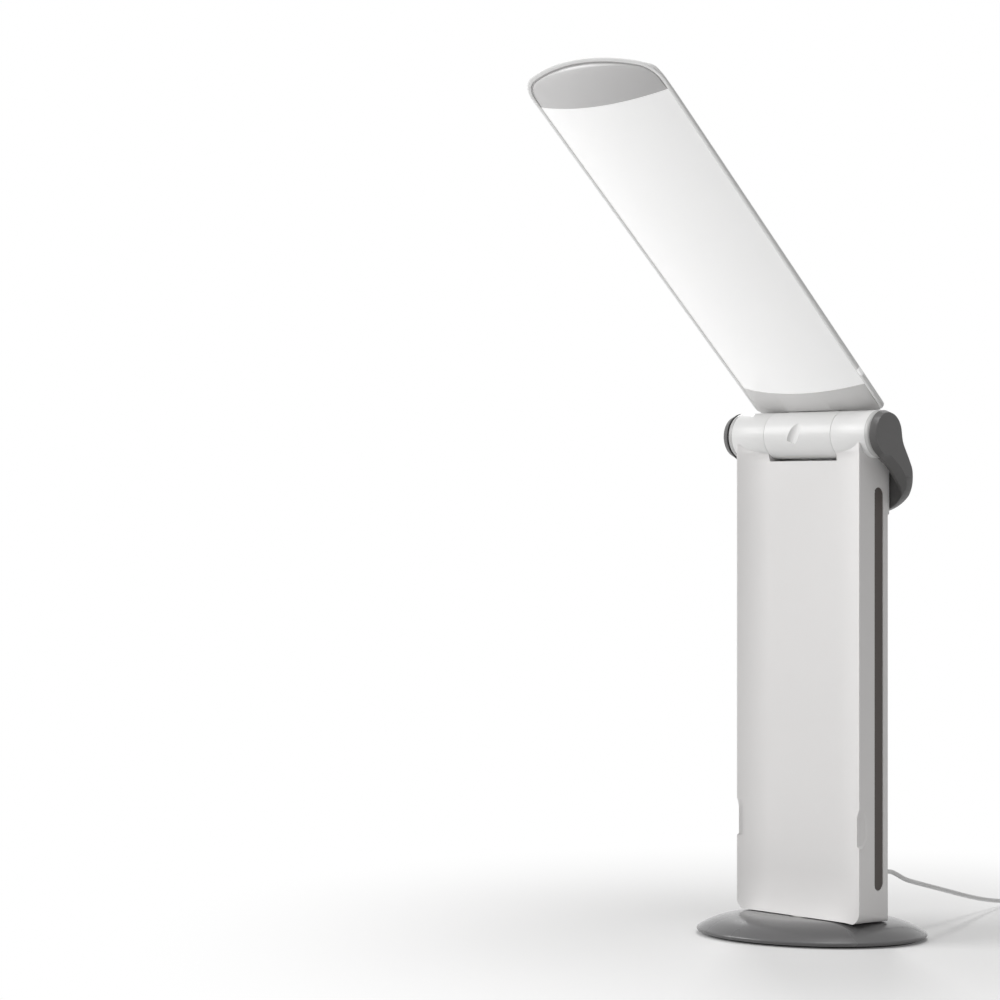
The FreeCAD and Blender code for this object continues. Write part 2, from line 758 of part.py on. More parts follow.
def diffuser():
    """Bowed opal window."""
    side = head_half_width - rim_land - fit_gap
    low, high = window_start, window_end
    sheet = face_arc_block(0, side, low, high).cut(face_arc_block(face_thickness, side, low, high))
    limit = box(-side, side, 0, rim_height + face_inset + face_thickness, low, high)
    sheet = sheet.common(limit).common(plan_block(rim_land + fit_gap, 0, crown_height))
    for lug in both_sides(lug_block(0).common(plan_block(0, 0, crown_height))):
        sheet = sheet.fuse(lug)
    return sheet.removeSplitter()


def root_cover():
    """Cover between the window and the barrel, hollow, cut round the barrel and the neck."""
    side = head_half_width - rim_land - fit_gap
    high = window_start - fit_gap
    low = head_root + rim_land + fit_gap
    top = rim_height + face_inset + face_thickness
    outer = face_arc_block(0, side, head_root, high)
    outer = outer.common(box(-side, side, 0, top, head_root, high))
    narrow = side - head_taper
    lip = box(-narrow, narrow, 0, rim_height - fit_gap, head_root, low + 1)
    room = plan_block(rim_land + fit_gap, 0, top).common(head_envelope(rim_wall + fit_gap, 0))
    outer = outer.common(room.fuse(lip))
    outer = outer.cut(rod_x(swing_radius, -side - 1, side + 1))
    outer = outer.cut(box(-side - 1, side + 1, rim_height - fit_gap, top + 1, -1, low))
    inner = face_arc_block(face_thickness, narrow - face_thickness, head_root, high + 1)
    inner = inner.cut(rod_x(swing_radius + face_thickness, -side - 1, side + 1))
    inner = inner.common(box(-side, side, 0, top + 6, low + face_thickness, high + 1))
    cover = outer.cut(inner).cut(neck_block(fit_gap + 0.2))
    return cover.removeSplitter()


def tip_cap():
    """Rounded nose between the window and the rim, hollow, with a ledge out to the rim."""
    low = window_end + fit_gap
    top = rim_height + face_inset + face_thickness
    side = head_half_width - rim_land - fit_gap

    def section(z, depth, lift):
        """Outline across the cap at one place along the head: bowed lit side, flat top."""
        edge = rim_height + face_inset + lift
        right, left = Vector(side, edge, z), Vector(-side, edge, z)
        high_left, high_right = Vector(-side, top + 2, z), Vector(side, top + 2, z)
        return Part.Wire([arc(right, Vector(0, edge - depth, z), left), line(left, high_left),
                          line(high_left, high_right), line(high_right, right)])

    def nose(inset):
        """The nose, or its inside when inset by a wall."""
        run = head_tip - rim_land - cap_reveal - inset - low
        wires = []
        for i in range(nose_sections):
            turn = math.pi / 2 * i / (nose_sections - 1)
            depth = (bulge - nose_flat) * math.cos(turn) + nose_flat
            wires.append(section(low + run * math.sin(turn), depth, inset))
        room = plan_block(rim_land + cap_reveal + inset, 0, top)
        return Part.makeLoft(wires, True).common(room.common(under_back))

    under_back = head_envelope(rim_wall + fit_gap, 0)
    ledge = plan_block(rim_land + fit_gap, top - 0.6, top + 0.8)
    ledge = ledge.common(box(-side, side, 0, top + 1, low, head_tip)).common(under_back)
    hollow = nose(face_thickness)
    hollow = hollow.common(box(-side, side, 0, top + 1, low + face_thickness, head_tip))
    opening = hollow.common(box(-side, side, top - 1, top, low, head_tip))
    cap = nose(0).fuse(ledge).cut(hollow).cut(opening.translated(Vector(0, 0.8, 0)))
    return cap.removeSplitter()


def neck_block(grow):
    """Neck from the knuckle into the head: its side view run across the middle."""
    x = neck_half_width + grow
    floor = neck_plate_floor - grow
    roof = neck_plate_floor + neck_plate_thickness + grow
    front, back = neck_front - grow, neck_back + grow
    outline = [(neck_front / 2, neck_root), (front, neck_root + 7), (front, neck_root + 16),
               (floor, neck_bend + 2), (floor, neck_plate_end), (roof, neck_plate_end),
               (roof, neck_bend), (back, neck_root + 9), (back - 11, neck_root)]
    points = [Vector(-x, y, z) for y, z in outline]
    edges = [line(points[i - 1], points[i]) for i in range(len(points))]
    return prism(edges, Vector(2 * x, 0, 0))


def head_knuckle():
    """Turning middle of the barrel with the neck and plate that carry the head."""
    body = rod_x(barrel_radius, -knuckle_half, knuckle_half).fuse(neck_block(0))
    # Thumb scoop in the side of the barrel that faces the user.
    scoop = rod_z(scoop_radius, -8, 8)
    scoop.rotate(Vector(0, 0, 0), Vector(0, 1, 0), 22)
    scoop.translate(Vector(-2.0, -barrel_radius - scoop_radius + 2.2, 2.0))
    scoop.rotate(Vector(0, 0, 0), Vector(1, 0, 0), -lean_angle)
    body = body.cut(scoop)
    body = body.cut(rod_x(axle_radius + running_gap, -knuckle_half - 1, knuckle_half + 1))
    for x, z in neck_screw_places():
        body = body.cut(rod_y(1.5 + running_gap, neck_plate_floor - 1, crown_height, x, z))
    return body.removeSplitter()


def neck_screw_places():
    """Screws of the neck's plate."""
    outer = neck_plate_end - neck_screw_inset
    return [(s * neck_screw_x, z) for s in (-1, 1) for z in (outer - neck_screw_pitch, outer)]


def light_tray():
    """White pan behind the window that carries the boards: flat floor, slanted sides."""
    low, high = window_start + 4, window_end - 4
    lip = rim_height + face_inset + face_thickness + fit_gap
    top = tray_floor

    def section(rise, z0, z1):
        """The pan's lit side, or its back when raised by the wall."""
        points = [Vector(x, y + rise, z0) for x, y in (
            (-tray_lip, lip), (-tray_skirt, lip), (-tray_half_width, top),
            (tray_half_width, top), (tray_skirt, lip), (tray_lip, lip))]
        points += [Vector(tray_lip, lip - 1, z0), Vector(-tray_lip, lip - 1, z0)]
        return prism([line(points[i - 1], points[i]) for i in range(8)],
                     Vector(0, 0, z1 - z0))

    pan = section(tray_wall, low, high).cut(section(0, low + tray_wall, high - tray_wall))
    pan = pan.common(box(-tray_lip, tray_lip, lip, top + tray_wall, low, high))
    for x, z in boss_places():
        pan = pan.cut(rod_y(1.05, top - 1, top + 3, x, z))
    for x, z in neck_screw_places():
        pan = pan.cut(rod_y(3.3, top - 1, top + 3, x, z))
    return pan.removeSplitter()


def led_board():
    """Right light board on the tray's floor."""
    x = board_spacing / 2
    low, high = window_start + 10, window_end - 10
    return box(x - board_width / 2, x + board_width / 2,
               tray_floor - board_thickness - fit_gap, tray_floor - fit_gap, low, high)


def leds():
    """Light sources in two rows."""
    low, high = window_start + 18, window_end - 18
    step = (high - low) / (leds_per_board - 1)
    face = tray_floor - board_thickness - fit_gap
    half = led_size / 2
    made = []
    for side in (-1, 1):
        x = side * board_spacing / 2
        for i in range(leds_per_board):
            z = low + i * step
            made.append(box(x - half, x + half, face - led_height, face, z - half, z + half))
    return made


def tray_screws():
    """Screws of the light tray, heads on its floor."""
    made = []
    for x, z in boss_places():
        one = screw(2.4, 1.4, 1.0, tray_hole_end - screw_tip_gap - tray_floor)
        one.rotate(Vector(0, 0, 0), Vector(1, 0, 0), -90)
        one.translate(Vector(x, tray_floor - 1.4, z))
        made.append(one)
    return made


def neck_screws():
    """Screws from the neck's plate into the shell's back."""
    made = []
    for x, z in neck_screw_places():
        one = screw(2.8, 1.4, 1.5, neck_hole_end - screw_tip_gap - neck_plate_floor)
        one.rotate(Vector(0, 0, 0), Vector(1, 0, 0), -90)
        one.translate(Vector(x, neck_plate_floor - 1.4, z))
        made.append(one)
    return made


# Handle, drawn about the hinge axis as it hangs behind the column

def on_disc(degrees, inset=0.0):
    """Point of the handle's round end, by its angle above the horizontal."""
    angle = math.radians(degrees)
    radius = barrel_radius - inset
    return radius * math.cos(angle), radius * math.sin(angle)


def along_disc(degrees):
    """Direction round the handle's end at that point, clockwise."""
    angle = math.radians(degrees)
    return Vector(0, math.sin(angle), -math.cos(angle))


def handle_outline(x, back_in, front_in, toe_in):
    """Wire of the handle's side view at one X, drawn in by its bevels."""

    def at(point):
        """Place of a side view's point at this X."""
        return Vector(x, point[0], point[1])

    def smooth(points, leave, arrive):
        """Curve through the points that keeps to the two directions."""
        curve = Part.BSplineCurve()
        curve.interpolate(Points=[at(p) for p in points], InitialTangent=leave,
                          FinalTangent=arrive)
        return curve.toShape()

    shoulder = on_disc(shoulder_angle, back_in)
    throat = on_disc(throat_angle, back_in)
    heel = (grip_back - back_in, -31.0)
    belly = (grip_back - 0.6 - back_in, -42.0)
    sole = (grip_back - 4.2 - back_in, -grip_drop + 2.4)
    toe = (grip_front + toe_in, -grip_drop + 3.0)
    front = (grip_front + toe_in, -42.0)
    back = smooth([shoulder, (17.6 - back_in, -4.2), (22.3 - back_in, -12.8),
                   (27.4 - back_in, -21.3), heel],
                  along_disc(shoulder_angle), Vector(0, 0, -1))
    inner = smooth([front, (18.6 + toe_in, -36.4 + front_in * 0.3),
                    (13.4 + toe_in * 0.8, -30.4 + front_in),
                    (7.6 + toe_in * 0.4, -24.6 + front_in), (0.5, -19.6 + front_in), throat],
                   Vector(0, 0, 1), along_disc(throat_angle))
    return Part.Wire([
        arc(at(throat), at(on_disc(126.0, back_in)), at(shoulder)), back,
        arc(at(heel), at(belly), at(sole)),
        arc(at(sole), at((grip_back - 6.6 - back_in, -grip_drop)), at(toe)),
        line(at(toe), at(front)), inner,
    ])


def handle_rear_view():
    """Outline of the handle seen from behind: a U with rounded lower corners."""
    side = handle_half_width
    y = -past
    bend_z = -grip_drop + handle_corner
    slant = handle_corner * (1 - math.sqrt(0.5))
    outer = [
        line(Vector(side, y, 20), Vector(side, y, bend_z)),
        arc(Vector(side, y, bend_z), Vector(side - slant, y, -grip_drop + slant),
            Vector(side - handle_corner, y, -grip_drop)),
        line(Vector(side - handle_corner, y, -grip_drop),
             Vector(-side + handle_corner, y, -grip_drop)),
        arc(Vector(-side + handle_corner, y, -grip_drop),
            Vector(-side + slant, y, -grip_drop + slant), Vector(-side, y, bend_z)),
        line(Vector(-side, y, bend_z), Vector(-side, y, 20)),
        line(Vector(-side, y, 20), Vector(side, y, 20)),
    ]
    return prism(outer, Vector(0, 2 * past, 0))


def handle_window():
    """Room for the fingers and the column between the arms, above the grip."""
    side = arm_inner
    floor = -grip_drop + grip_height
    r = handle_inner_corner
    slant = r * (1 - math.sqrt(0.5))
    y = -past
    return prism([
        line(Vector(side, y, 20), Vector(side, y, floor + r)),
        arc(Vector(side, y, floor + r), Vector(side - slant, y, floor + slant),
            Vector(side - r, y, floor)),
        line(Vector(side - r, y, floor), Vector(-side + r, y, floor)),
        arc(Vector(-side + r, y, floor), Vector(-side + slant, y, floor + slant),
            Vector(-side, y, floor + r)),
        line(Vector(-side, y, floor + r), Vector(-side, y, 20)),
        line(Vector(-side, y, 20), Vector(side, y, 20)),
    ], Vector(0, 2 * past, 0))


def handle():
    """Carrying handle: two arms on the axle's ends and the grip behind the column."""
    side = handle_half_width
    edge = side - bevel_run
    body = Part.Face(handle_outline(-edge, 0, 0, 0)).extrude(Vector(2 * edge, 0, 0))
    bevel = Part.makeLoft([handle_outline(edge, 0, 0, 0),
                           handle_outline(side, bevel_back, bevel_front, bevel_toe)], True, True)
    for end in both_sides(bevel):
        body = body.fuse(end)
    body = body.common(handle_rear_view()).cut(handle_window())
    body = body.cut(box(-arm_inner, arm_inner, -barrel_radius - 1, grip_front,
                        -grip_drop - 1, barrel_radius + 1))
    # Step round the rings, and blind bores for the axle.
    body = body.cut(rod_x(swing_radius, -disc_inner, disc_inner))
    reach = axle_reach + fit_gap
    return body.cut(rod_x(axle_radius + running_gap, -reach, reach))


# Base, drawn with its long axis along X

def oval(x_half, y_half, z0, z1):
    """Oval plate."""
    curve = Part.Ellipse(Vector(0, 0, z0), x_half, y_half).toShape()
    return Part.Face(Part.Wire([curve])).extrude(Vector(0, 0, z1 - z0))


def dome_arcs():
    """Centres and radii of the dome's two arcs, and where they meet, in the plane of its radius."""
    first = Vector(crown_radius, 0, base_crown - crown_bend)
    run = shoulder_radius - crown_radius
    meet = Vector(shoulder_radius, 0, first.z + math.sqrt(crown_bend ** 2 - run ** 2))
    normal = (meet - first) * (1 / crown_bend)
    rim = Vector(base_half_length, 0, base_edge)
    bend = (meet - rim).Length ** 2 / (2 * (meet - rim).dot(normal))
    return first, meet, meet - normal * bend, bend


def dome_height(radius, inset=0.0):
    """Height of the dome's top, or of its inside, along its long half."""
    first, meet, second, bend = dome_arcs()
    lean = (meet.x - first.x) / crown_bend
    if radius > meet.x - inset * lean:
        return second.z + math.sqrt((bend - inset) ** 2 - (radius - second.x) ** 2)
    run = max(radius - crown_radius, 0.0)
    return first.z + math.sqrt((crown_bend - inset) ** 2 - run ** 2)


def dome_solid(lift, inset=0.0):
    """Round dome: flat middle, two tangent arcs and a rounded rim, turned about the middle."""
    first, meet, second, bend = dome_arcs()
    up = Vector(0, 0, lift)
    low = mat_thickness - rim_lift

    def on_arc(centre, radius, angle):
        """Point of an arc by its angle from upright, drawn in by the inset."""
        reach = radius - inset
        return centre + up + Vector(reach * math.sin(angle), 0, reach * math.cos(angle))

    lean_meet = math.asin((meet.x - first.x) / crown_bend)
    lean_rim = math.asin((base_half_length - second.x) / bend)
    flat = on_arc(first, crown_bend, 0)
    join = on_arc(first, crown_bend, lean_meet)
    rim = on_arc(second, bend, lean_rim)
    outline = [
        arc(flat, on_arc(first, crown_bend, lean_meet / 2), join),
        arc(join, on_arc(second, bend, (lean_meet + lean_rim) / 2), rim),
        line(flat, Vector(0, 0, flat.z)), line(Vector(0, 0, flat.z), Vector(0, 0, low)),
    ]
    if inset:
        outline += [line(rim, Vector(rim.x, 0, low)), line(Vector(rim.x, 0, low), Vector(0, 0, low))]
    else:
        under = Vector(rim.x - rim_undercut, 0, low)
        outline += [arc(rim, Vector(rim.x - rim_undercut * 0.27, 0, (rim.z + low) / 2), under),
                    line(under, Vector(0, 0, low))]
    return Part.Face(Part.Wire(Part.__sortEdges__(outline))).revolve(
        Vector(0, 0, 0), Vector(0, 0, 1), 360)


def base_dome(inset):
    """The dome drawn in across the base to an oval."""
    squeeze = FreeCAD.Matrix()
    squeeze.scale(1.0, (base_half_width - inset) / (base_half_length - inset), 1.0)
    return dome_solid(0, inset).transformGeometry(squeeze)


def base_shell():
    """Top of the base: thin dome with a hub that the column's spigot turns in."""
    hollow = base_dome(base_wall).cut(rod_z(hub_radius, -1, past))
    shell = base_dome(0).cut(hollow)
    shell = shell.cut(oval(base_half_length - base_wall, base_half_width - base_wall, 0,
                           mat_thickness + floor_thickness))
    room = spigot_radius + retainer_overlap + retainer_room
    shell = shell.cut(rod_z(room, -1, washer_floor + retainer_thickness + fit_gap))
    return shell.cut(rod_z(spigot_radius + running_gap, 0, past))


def base_floor():
    """Bottom plate of the base."""
    inset = base_wall + floor_gap
    low = mat_thickness
    plate = oval(base_half_length - inset, base_half_width - inset, low,
                 low + floor_thickness - fit_gap)
    for x, y in floor_screw_places():
        plate = plate.cut(rod_z(1.6, 0, 10, x, y)).cut(rod_z(2.7, 0, low + 0.9, x, y))
    return plate


def floor_screw_places():
    """Screws of the bottom plate."""
    return [(sx * floor_screw_x, sy * floor_screw_y) for sx in (-1, 1) for sy in (-1, 1)]


def floor_screws():
    """Screws up into the ballast plate."""
    made = []
    for x, y in floor_screw_places():
        head = rod_z(2.5, mat_thickness + 0.05, mat_thickness + 0.9, x, y)
        made.append(head.fuse(rod_z(1.5, mat_thickness + 0.9, mat_thickness + 5.0, x, y)))
    return made


def base_weight():
    """Steel ballast, stepped to follow the inside of the dome."""
    low = mat_thickness + floor_thickness
    reach = base_half_length - base_wall
    slim = (base_half_width - base_wall) / reach
    plate = None
    for inset in weight_steps:
        edge = reach - weight_clear - inset
        high = dome_height(edge, base_wall) - weight_clear
        step = oval(edge, edge * slim, low, high)
        plate = step if plate is None else plate.fuse(step)
    plate = plate.cut(rod_z(hub_radius + retainer_room, 0, past))
    for x, y in floor_screw_places():
        plate = plate.cut(rod_z(1.5 + running_gap, 0, low + 4, x, y))
    return plate.removeSplitter()


def foot_mat():
    """Thin rubber sheet the lamp stands on."""
    return oval(base_half_length - mat_inset, base_half_width - mat_inset, 0, mat_thickness)


def swivel_spigot():
    """Turned spigot under the column that turns in the base's hub."""
    body = rod_z(spigot_radius, washer_floor + retainer_thickness, column_underside)
    return body.cut(rod_z(swivel_screw_radius + running_gap, 0, past))


def thrust_washer():
    """Slippery ring that the column stands on."""
    ring = rod_z(thrust_radius, base_crown, column_underside)
    return ring.cut(rod_z(spigot_radius + running_gap, 0, past))


def retaining_washer():
    """Washer that holds the spigot in the hub."""
    ring = rod_z(spigot_radius + retainer_overlap, washer_floor,
                 washer_floor + retainer_thickness)
    return ring.cut(rod_z(swivel_screw_radius + running_gap, 0, past))


def swivel_screw():
    """Screw up through washer and spigot into the column's foot."""
    body = screw(4.2, 2.2, swivel_screw_radius, 17.0)
    body.translate(Vector(0, 0, washer_floor - 2.2))
    return body


# Inside the column

def driver_board():
    """Driver board on the posts."""
    edge = post_spacing / 2 + board_edge
    board = box(-edge, edge, driver_plane, driver_plane + board_sheet,
                board_low - board_edge, board_high + board_edge)
    for x, z in driver_post_places():
        board = board.cut(rod_y(1.6, 0, past, x, z))
    return board


def component(size, x, z):
    """Block of one component on the driver board, by its middle."""
    face = driver_plane + board_sheet
    wide, deep, high = size
    return box(x - wide / 2, x + wide / 2, face, face + deep, z - high / 2, z + high / 2)


def driver_parts():
    """Choke, capacitors, connector and regulator on the driver board."""
    face = driver_plane + board_sheet
    middle = (board_low + board_high) / 2
    pitch = choke_size[0] + 5
    capacitors = [rod_y(capacitor_radius, face, face + capacitor_height,
                        x, middle - choke_size[2]) for x in (6.0, 6.0 + 3 * capacitor_radius)]
    return [component(choke_size, -pitch, middle - 3),
            component(connector_size, pitch + 5, board_high - connector_size[2]),
            component(regulator_size, 0, middle + choke_size[2])] + capacitors


def driver_screws():
    """Screws of the driver board."""
    made = []
    for x, z in driver_post_places():
        one = screw(2.4, 1.4, 1.0, 5.5)
        one.rotate(Vector(0, 0, 0), Vector(1, 0, 0), 90)
        one.translate(Vector(x, driver_plane + board_sheet + 1.4, z))
        made.append(one)
    return made


def hinge_switch():
    """Switch under the shelf, below the turning knuckle."""
    x = switch_width / 2
    y = switch_depth / 2
    low = shelf_bottom - switch_height
    body = box(-x, x, -y, y, low, shelf_bottom)
    legs = [box(i * 4.0 - 0.4, i * 4.0 + 0.4, -0.3, 0.3, low - 3, low) for i in (-1, 0, 1)]
    body = body.cut(rod_z(plunger_radius + running_gap, low + 3, axis_height))
    return body.fuse(legs[0]).fuse(legs[1]).fuse(legs[2]).removeSplitter()


def switch_plunger():
    """Plunger of the switch, reaching through the shelf into the slot."""
    top = axis_height - slot_drop + plunger_travel
    low = shelf_bottom - switch_height + 3 + plunger_travel + 0.1
    pin = rod_z(plunger_radius, low, top)
    return pin.makeChamfer(0.3, [e for e in pin.Edges if e.BoundBox.ZMin > top - 0.01])


# Cord and supply

def cord_gland():
    """Tapered rubber strain relief in the rear cover."""
    start = column_back - 0.3
    flange = rod_y(cord_radius + 2.6, start, start + 1.2, cord_exit_x, cord_exit_height)
    nose = Part.makeCone(cord_radius + 1.9, cord_radius + 0.8, gland_length - 0.9,
                         Vector(cord_exit_x, start + 1.2, cord_exit_height), Vector(0, 1, 0))
    plug = rod_y(cord_radius + 1.3, start - 4, start, cord_exit_x, cord_exit_height)
    return plug.fuse(flange).fuse(nose)


# Route of the lead from the gland down to the standing surface, chosen by hand.
cord_route = [
    (46.0, cord_start_y, cord_exit_height), (46.0, 30.6, cord_exit_height), (46.0, 38.6, 44.3),
    (46.0, 48.5, 39.6), (45.6, 60.0, 36.4), (43.6, 80.0, 31.4), (40.0, 104.0, 25.6),
    (35.4, 128.0, 19.8), (30.0, 152.0, 14.2), (25.0, 176.0, 9.2), (20.6, 200.0, 5.0),
    (17.4, 224.0, 2.1), (16.0, 246.0, 1.7),
]


def coil_middle():
    """Middle of the put-away coil, beside the end of the route."""
    x, y, z = cord_route[-1]
    return x + coil_middle_radius + 2 * cord_radius, y + 12.0


def tube_along(points, radius):
    """Round tube on straight runs joined by the largest tangent arcs they allow."""
    path = [Vector(*p) for p in points]
    edges = []
    at = path[0]
    for i in range(1, len(path) - 1):
        before = (path[i] - path[i - 1])
        after = (path[i + 1] - path[i])
        turn = before.getAngle(after)
        cut_back = 0.45 * min(before.Length, after.Length)
        bend = cut_back / math.tan(turn / 2)
        print("cord point", i, "turn", round(math.degrees(turn), 1), "radius", round(bend, 1))
        into = path[i] - before.normalize() * cut_back
        out = path[i] + after.normalize() * cut_back
        chord = (into + out) * 0.5
        centre = path[i] + (chord - path[i]).normalize() * math.hypot(bend, cut_back)
        middle = centre + (path[i] - centre).normalize() * bend
        edges.append(Part.LineSegment(at, into).toShape())
        edges.append(Part.Arc(into, middle, out).toShape())
        at = out
    edges.append(Part.LineSegment(at, path[-1]).toShape())
    wire = Part.Wire(edges)
    direction = path[1] - path[0]
    section = Part.Wire(Part.Circle(path[0], direction, radius).toShape())
    tube = wire.makePipeShell([section], True, False)
    ideal = math.pi * radius ** 2 * wire.Length
    print("cord tube", round(tube.Volume, 1), "section x length", round(ideal, 1),
          "length", round(wire.Length, 1))
    return tube


def coil_lead(start, end):
    """Straight piece of lead between two points."""
    run = Vector(*end) - Vector(*start)
    return Part.makeCylinder(cord_radius, run.Length, Vector(*start), run)


def cord_coil():
    """Outer shape of the put-away coil, with the leads that enter and leave it."""
    x, y = coil_middle()
    across = coil_turns_across * cord_radius
    high = coil_turns_high * 2 * cord_radius
    ring = rod_z(coil_middle_radius + across, rest_gap, rest_gap + high, x, y)
    rounded = [e for e in ring.Edges if e.BoundBox.ZLength < 0.01]
    ring = ring.makeFillet(cord_radius, rounded)
    ring = ring.cut(rod_z(coil_middle_radius - across, -1, 30, x, y))
    lead_x, lead_y, lead_z = cord_route[-1]
    entry = coil_lead((lead_x, lead_y, lead_z), (lead_x, y, lead_z))
    top = rest_gap + high - cord_radius
    leave = coil_lead((lead_x, y, top), (lead_x, adapter_start - relief_length, relief_height))
    return ring.fuse(entry).fuse(leave)


def adapter_body():
    """Plug-in supply lying on its back, with a relief for the lead at one end."""
    x = cord_route[-1][0]
    end = adapter_start + adapter_length
    body = box(x - adapter_width / 2, x + adapter_width / 2, adapter_start, end,
               rest_gap, adapter_depth)
    body = body.makeFillet(4.0, [e for e in body.Edges if e.BoundBox.ZLength > 20])
    top = adapter_depth - 0.01
    body = body.makeFillet(2.5, [e for e in body.Edges if e.BoundBox.ZMin > top])
    relief = Part.makeCone(cord_radius + 0.4, cord_radius + 1.4, relief_length,
                           Vector(x, adapter_start - relief_length, relief_height),
                           Vector(0, 1, 0))
    return body.fuse(relief)


def adapter_pins():
    """Two round mains pins on top of the supply."""
    x = cord_route[-1][0]
    y = adapter_start + adapter_length - pin_from_end
    made = []
    for side in (-1, 1):
        pin = rod_z(pin_radius, adapter_depth, adapter_depth + pin_length,
                    x + side * pin_spacing / 2, y)
        tip = [e for e in pin.Edges if e.BoundBox.ZMin > adapter_depth + pin_length - 0.01]
        made.append(pin.makeFillet(1.4, tip))
    return made


def build():
    """Makes and writes every sub-part."""
    os.makedirs("parts", exist_ok=True)
    export("base_shell", twisted(base_shell()))
    export("base_weight", twisted(base_weight()))
    export("base_floor", twisted(base_floor()))
    export("foot_mat", twisted(foot_mat()))
    export("floor_screws", [twisted(s) for s in floor_screws()])
    export("swivel_spigot", swivel_spigot())
    export("thrust_washer", thrust_washer())
    export("retaining_washer", retaining_washer())
    export("swivel_screw", swivel_screw())
    export("column_housing", column_housing())
    export("rear_cover", rear_cover())
    export("cover_screws", cover_screws())
    for name, shape in zip(("right", "left"), both_sides(side_inlay())):
        export("side_inlay_" + name, shape)
    for name, shape in zip(("right", "left"), both_sides(raised(sleeve()))):
        export("barrel_sleeve_" + name, shape)
    export("sleeve_screws", sleeve_screws())
    export("hinge_axle", raised(axle()))
    export("friction_washers", both_sides(raised(friction_washer())))
    export("end_rings", both_sides(raised(end_ring())))
    export("driver_board", driver_board())
    export("driver_parts", driver_parts())
    export("driver_screws", driver_screws())
    export("cord_gland", cord_gland())
    export("head_knuckle", leaned(head_knuckle()))
    export("head_shell", leaned(head_shell()))
    export("root_cover", leaned(root_cover()))
    export("diffuser", leaned(diffuser()))
    export("tip_cap", leaned(tip_cap()))
    export("light_tray", leaned(light_tray()))
    for name, shape in zip(("right", "left"), both_sides(led_board())):
        export("led_board_" + name, leaned(shape))
    export("leds", [leaned(s) for s in leds()])
    export("tray_screws", [leaned(s) for s in tray_screws()])
    export("neck_screws", [leaned(s) for s in neck_screws()])
    export("handle", raised(handle()))
    export("hinge_switch", hinge_switch())
    export("switch_plunger", switch_plunger())
    export("cord_tube", tube_along(cord_route, cord_radius))
    export("cord_coil", cord_coil())
    export("adapter_body", adapter_body())
    export("adapter_pins", adapter_pins())


build()
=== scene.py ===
# %% [markdown]
# # A folding daylight lamp
# The lamp stands on an oval foot. A flat column carries a barrel hinge, and a long lit head leans
# forward from it. A dark carrying handle hangs behind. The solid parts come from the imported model
# and stay where they are. This notebook gives them finishes, adds the surfaces that need softer
# forms than the solids have, lays the lead, and sets up camera and light.

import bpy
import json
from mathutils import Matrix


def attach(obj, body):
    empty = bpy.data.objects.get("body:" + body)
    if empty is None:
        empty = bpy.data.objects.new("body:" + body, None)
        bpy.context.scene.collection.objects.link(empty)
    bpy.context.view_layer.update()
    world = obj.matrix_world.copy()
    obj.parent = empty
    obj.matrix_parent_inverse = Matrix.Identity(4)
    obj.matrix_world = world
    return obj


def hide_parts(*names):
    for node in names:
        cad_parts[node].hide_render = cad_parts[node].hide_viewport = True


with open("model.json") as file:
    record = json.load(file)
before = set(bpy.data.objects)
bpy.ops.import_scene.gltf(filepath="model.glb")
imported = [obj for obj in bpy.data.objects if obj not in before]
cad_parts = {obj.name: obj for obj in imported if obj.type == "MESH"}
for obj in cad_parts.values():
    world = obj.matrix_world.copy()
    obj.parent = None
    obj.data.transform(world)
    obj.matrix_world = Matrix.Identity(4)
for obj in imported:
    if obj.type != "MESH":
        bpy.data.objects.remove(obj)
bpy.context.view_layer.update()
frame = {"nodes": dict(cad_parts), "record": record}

# %% [markdown]
# ## Modules
# numpy works out the points of every new surface, bmesh welds them, and bpy is Blender itself. The
# solids are in the scene already, one object to a node.

# %% Modules
import json
import math

import bmesh
import bpy
import numpy as np
from mathutils import Vector

nodes = frame["nodes"]
scene = bpy.context.scene

# %% [markdown]
# ## Camera
# The photograph looks level across the lamp from 45 degrees to its right, from a little under two
# metres off and from below the height of the hinge. A camera could be aimed by hand in the
# viewport. Here its place is worked out from a few measures, so that each can be fitted alone. A
# long lens keeps the upright edges nearly parallel. The camera isn't tilted, so they stay upright
# too, and a hair of vertical shift frames the lamp.

# %% Camera
TURN = math.radians(45.0)
DISTANCE = 1.85
SIDESTEP = 0.2208
EYE_HEIGHT = 0.31
FOCAL_LENGTH = 93.8
SENSOR_WIDTH = 36.0
SHIFT = -0.0012

forward = np.array([-math.sin(TURN), math.cos(TURN)])
sideways = np.array([math.cos(TURN), math.sin(TURN)])
stand = -DISTANCE * forward - SIDESTEP * sideways

lens = bpy.data.cameras.new("camera")
lens.lens = FOCAL_LENGTH
lens.sensor_width = SENSOR_WIDTH
lens.shift_y = SHIFT
camera = bpy.data.objects.new("camera", lens)
camera.location = (stand[0], stand[1], EYE_HEIGHT)
camera.rotation_euler = (math.radians(90.0), 0.0, TURN)
scene.collection.objects.link(camera)
scene.camera = camera
scene.view_settings.view_transform = "Standard"
print("camera at", [round(v, 3) for v in camera.location])

# %% [markdown]
# ## The lead
# A thin low-voltage lead leaves a small rubber gland near the foot of the back. It droops at
# once, reaches the table a hand's breadth behind the foot and runs out of the picture. It could be
# a mesh tube, but a curve with a round bevel is lighter and stays smooth at any distance. One
# NURBS spline follows listed points, in millimetres here.

# %% Route of the lead
LEAD_RADIUS = 0.0016

